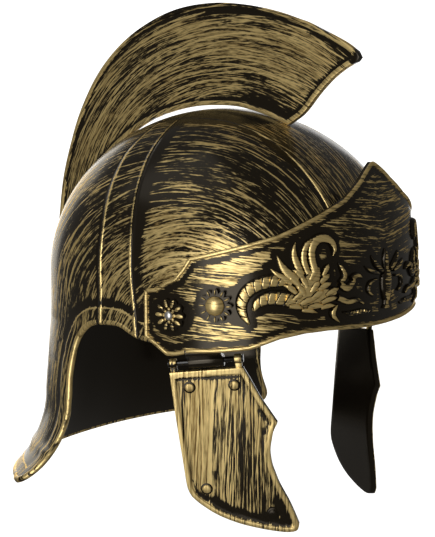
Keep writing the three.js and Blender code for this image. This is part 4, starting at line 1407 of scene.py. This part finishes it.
def buildFrontRosette():
    size = rosettes["radius"]
    thick = rosettes["frontThick"]
    star = prism("star", starOutline(rosettes["points"], size * 0.98, 0.30), thick * 0.62)
    rays = petalRing(rosettes["points"], size * 0.78, size * 0.36, size * 0.10, thick * 0.22, thick * 0.62)
    boss = domeOn(thick * 0.62, rosettes["boss"], rosettes["boss"] * 0.66)
    return joinInto("rosette_front_right", [star, boss] + rays)


def finishRosette(piece, matrix, node, spread, gold):
    points = vertexArray(piece)
    lifted = ramp(points[:, 2], spread[0], spread[1])
    setFloat(piece, "bare", 0.9 * (1 - lifted))
    setFloat(piece, "edge", gold * lifted)
    smooth(piece, 40)
    piece.data.transform(matrix)
    piece.data.update()
    finishPair(piece, rosettePaint, ("shell", "shell"), node)


rosettePaint = brushedMaterial("rosette brushed", levelStrokes, rosettes["strokes"], rosettes["coverage"])
thick = rosettes["rearThick"]
finishRosette(buildRearRosette(), rosetteMatrix(rosettes["rearAngle"], rosettes["rearLevel"]),
              "rosette_rear", (thick * 0.55, thick * 0.85), 0.35)
thick = rosettes["frontThick"]
finishRosette(buildFrontRosette(), rosetteMatrix(rosettes["frontAngle"], rosettes["frontLevel"]),
              "rosette_front", (thick * 0.66, thick * 0.76), 0.5)


def buildRivet():
    head = domeOn(rosettes["rearThick"], rosettes["rivet"], rosettes["rivetRise"])
    deselectAll()
    length = rosettes["shankLength"]
    bpy.ops.mesh.primitive_cylinder_add(vertices=24, radius=rosettes["shank"], depth=length)
    shank = bpy.context.object
    middle = rosettes["rearThick"] + rosettes["shankUp"] - length / 2
    shank.data.transform(Matrix.Translation((0, 0, middle)))
    piece = joinInto("band_rivet_right", [head, shank])
    smooth(piece, 40)
    piece.data.transform(rosetteMatrix(rosettes["rearAngle"], rosettes["rearLevel"]))
    piece.data.update()
    finishPair(piece, rivetSteel, ("shell", "shell"), "band_rivet")


buildRivet()


def buildPin():
    length = guard["span"] + guard["knuckleLength"] + guard["pinPlay"]
    cap = guard["pinHeadLength"]
    shaft = roller("shaft", guard["pin"], length + guard["pinInHeads"], 0, 24, 0.0002)
    heads = [roller("head", guard["pinHead"], cap, side * (length + cap) / 2, 24, 0.0002)
             for side in (-1, 1)]
    piece = joinInto("hinge_pin_right", [shaft] + heads)
    smooth(piece, 40)
    piece.data.transform(guardMatrix())
    piece.data.update()
    finishPair(piece, blackPlastic, ("cheek_right", "cheek_left"), "hinge_pin")


buildPin()
print("rosettes, rivets and pins")


# floor, light and camera

studio = {
    "floorLevel": -0.36, "floorHalf": 6.0, "wallHalf": 1.15, "wallAway": 2.6,
    "paper": (0.95, 0.95, 0.945, 1), "floorGlow": 0.9, "wallGlow": 1.3,
    "world": (1.0, 0.97, 0.91, 1), "worldStrength": 0.17, "backdrop": 1.4,
    "keyPower": 10, "keySize": (0.8, 1.3), "keyPlace": (-1.3, -0.28, -0.08),
    "sheenPower": 2.0, "sheenSize": (0.5, 0.35), "sheenPlace": (-1.2, -0.25, 0.45),
    "rimPower": 3.8, "rimSize": (0.9, 1.0), "rimPlace": (0.54, 1.36, 0.20),
    "rimColour": (1.0, 0.94, 0.82),
    "topPower": 1.2, "topSize": (0.9, 0.9), "topPlace": (-0.6, 0.5, 1.1),
}
view = {
    "azimuth": 52, "elevation": 8.5, "distance": 0.850, "target": (0, 0.008, 0.002),
    "lens": 106.9, "sensor": 36,
}


# A pale sheet of paper, lit to white: the floor, and the wall behind the helmet.
def paperSheet(name, half, place, tilt, glow, seenInShine):
    deselectAll()
    bpy.ops.mesh.primitive_plane_add(size=2 * half)
    sheet = bpy.context.object
    sheet.name = name
    turned = Matrix.Rotation(math.radians(-view["azimuth"]), 4, "Z") @ Matrix.Rotation(tilt, 4, "X")
    sheet.data.transform(Matrix.Translation(place) @ turned)
    sheet.visible_glossy = seenInShine
    sheet.visible_diffuse = seenInShine
    material = bpy.data.materials.new(name)
    material.use_nodes = True
    shader = material.node_tree.nodes["Principled BSDF"]
    shader.inputs["Base Color"].default_value = studio["paper"]
    shader.inputs["Roughness"].default_value = 0.9
    shader.inputs["Emission Color"].default_value = studio["paper"]
    shader.inputs["Emission Strength"].default_value = glow
    sheet.data.materials.append(material)


def softBox(name, power, size, place, colour):
    light = bpy.data.lights.new(name, "AREA")
    light.energy = power
    light.color = colour
    light.shape = "RECTANGLE"
    light.size, light.size_y = size
    lamp = bpy.data.objects.new(name, light)
    bpy.context.collection.objects.link(lamp)
    lamp.location = place
    lamp.rotation_euler = (-Vector(place)).to_track_quat("-Z", "Y").to_euler()


turn = math.radians(view["azimuth"])
wallPlace = (math.sin(turn) * studio["wallAway"], math.cos(turn) * studio["wallAway"], 0)
paperSheet("floor", studio["floorHalf"], (0, 0, studio["floorLevel"]), 0, studio["floorGlow"], False)
paperSheet("wall", studio["wallHalf"], wallPlace, math.radians(90), studio["wallGlow"], True)
for lamp in ("key", "sheen", "rim", "top"):
    softBox(lamp, studio[lamp + "Power"], studio[lamp + "Size"], studio[lamp + "Place"],
            studio.get(lamp + "Colour", (1, 1, 1)))
world = bpy.data.worlds.new("studio")
bpy.context.scene.world = world
world.use_nodes = True
surround = world.node_tree.nodes["Background"]
surround.inputs["Color"].default_value = studio["world"]
seen = world.node_tree.nodes.new("ShaderNodeLightPath").outputs["Is Camera Ray"]
strength = remap(world.node_tree, seen, 0, 1, studio["worldStrength"], studio["backdrop"], "LINEAR")
world.node_tree.links.new(strength, surround.inputs["Strength"])
bpy.context.scene.view_settings.view_transform = "Standard"

climb = math.radians(view["elevation"])
away = Vector((-math.sin(turn) * math.cos(climb), -math.cos(turn) * math.cos(climb), math.sin(climb)))
lens = bpy.data.cameras.new("camera")
lens.lens = view["lens"]
lens.sensor_fit = "HORIZONTAL"
lens.sensor_width = view["sensor"]
camera = bpy.data.objects.new("camera", lens)
bpy.context.collection.objects.link(camera)
camera.location = Vector(view["target"]) + away * view["distance"]
camera.rotation_euler = (-away).to_track_quat("-Z", "Y").to_euler()
bpy.context.scene.camera = camera
print("studio and camera")
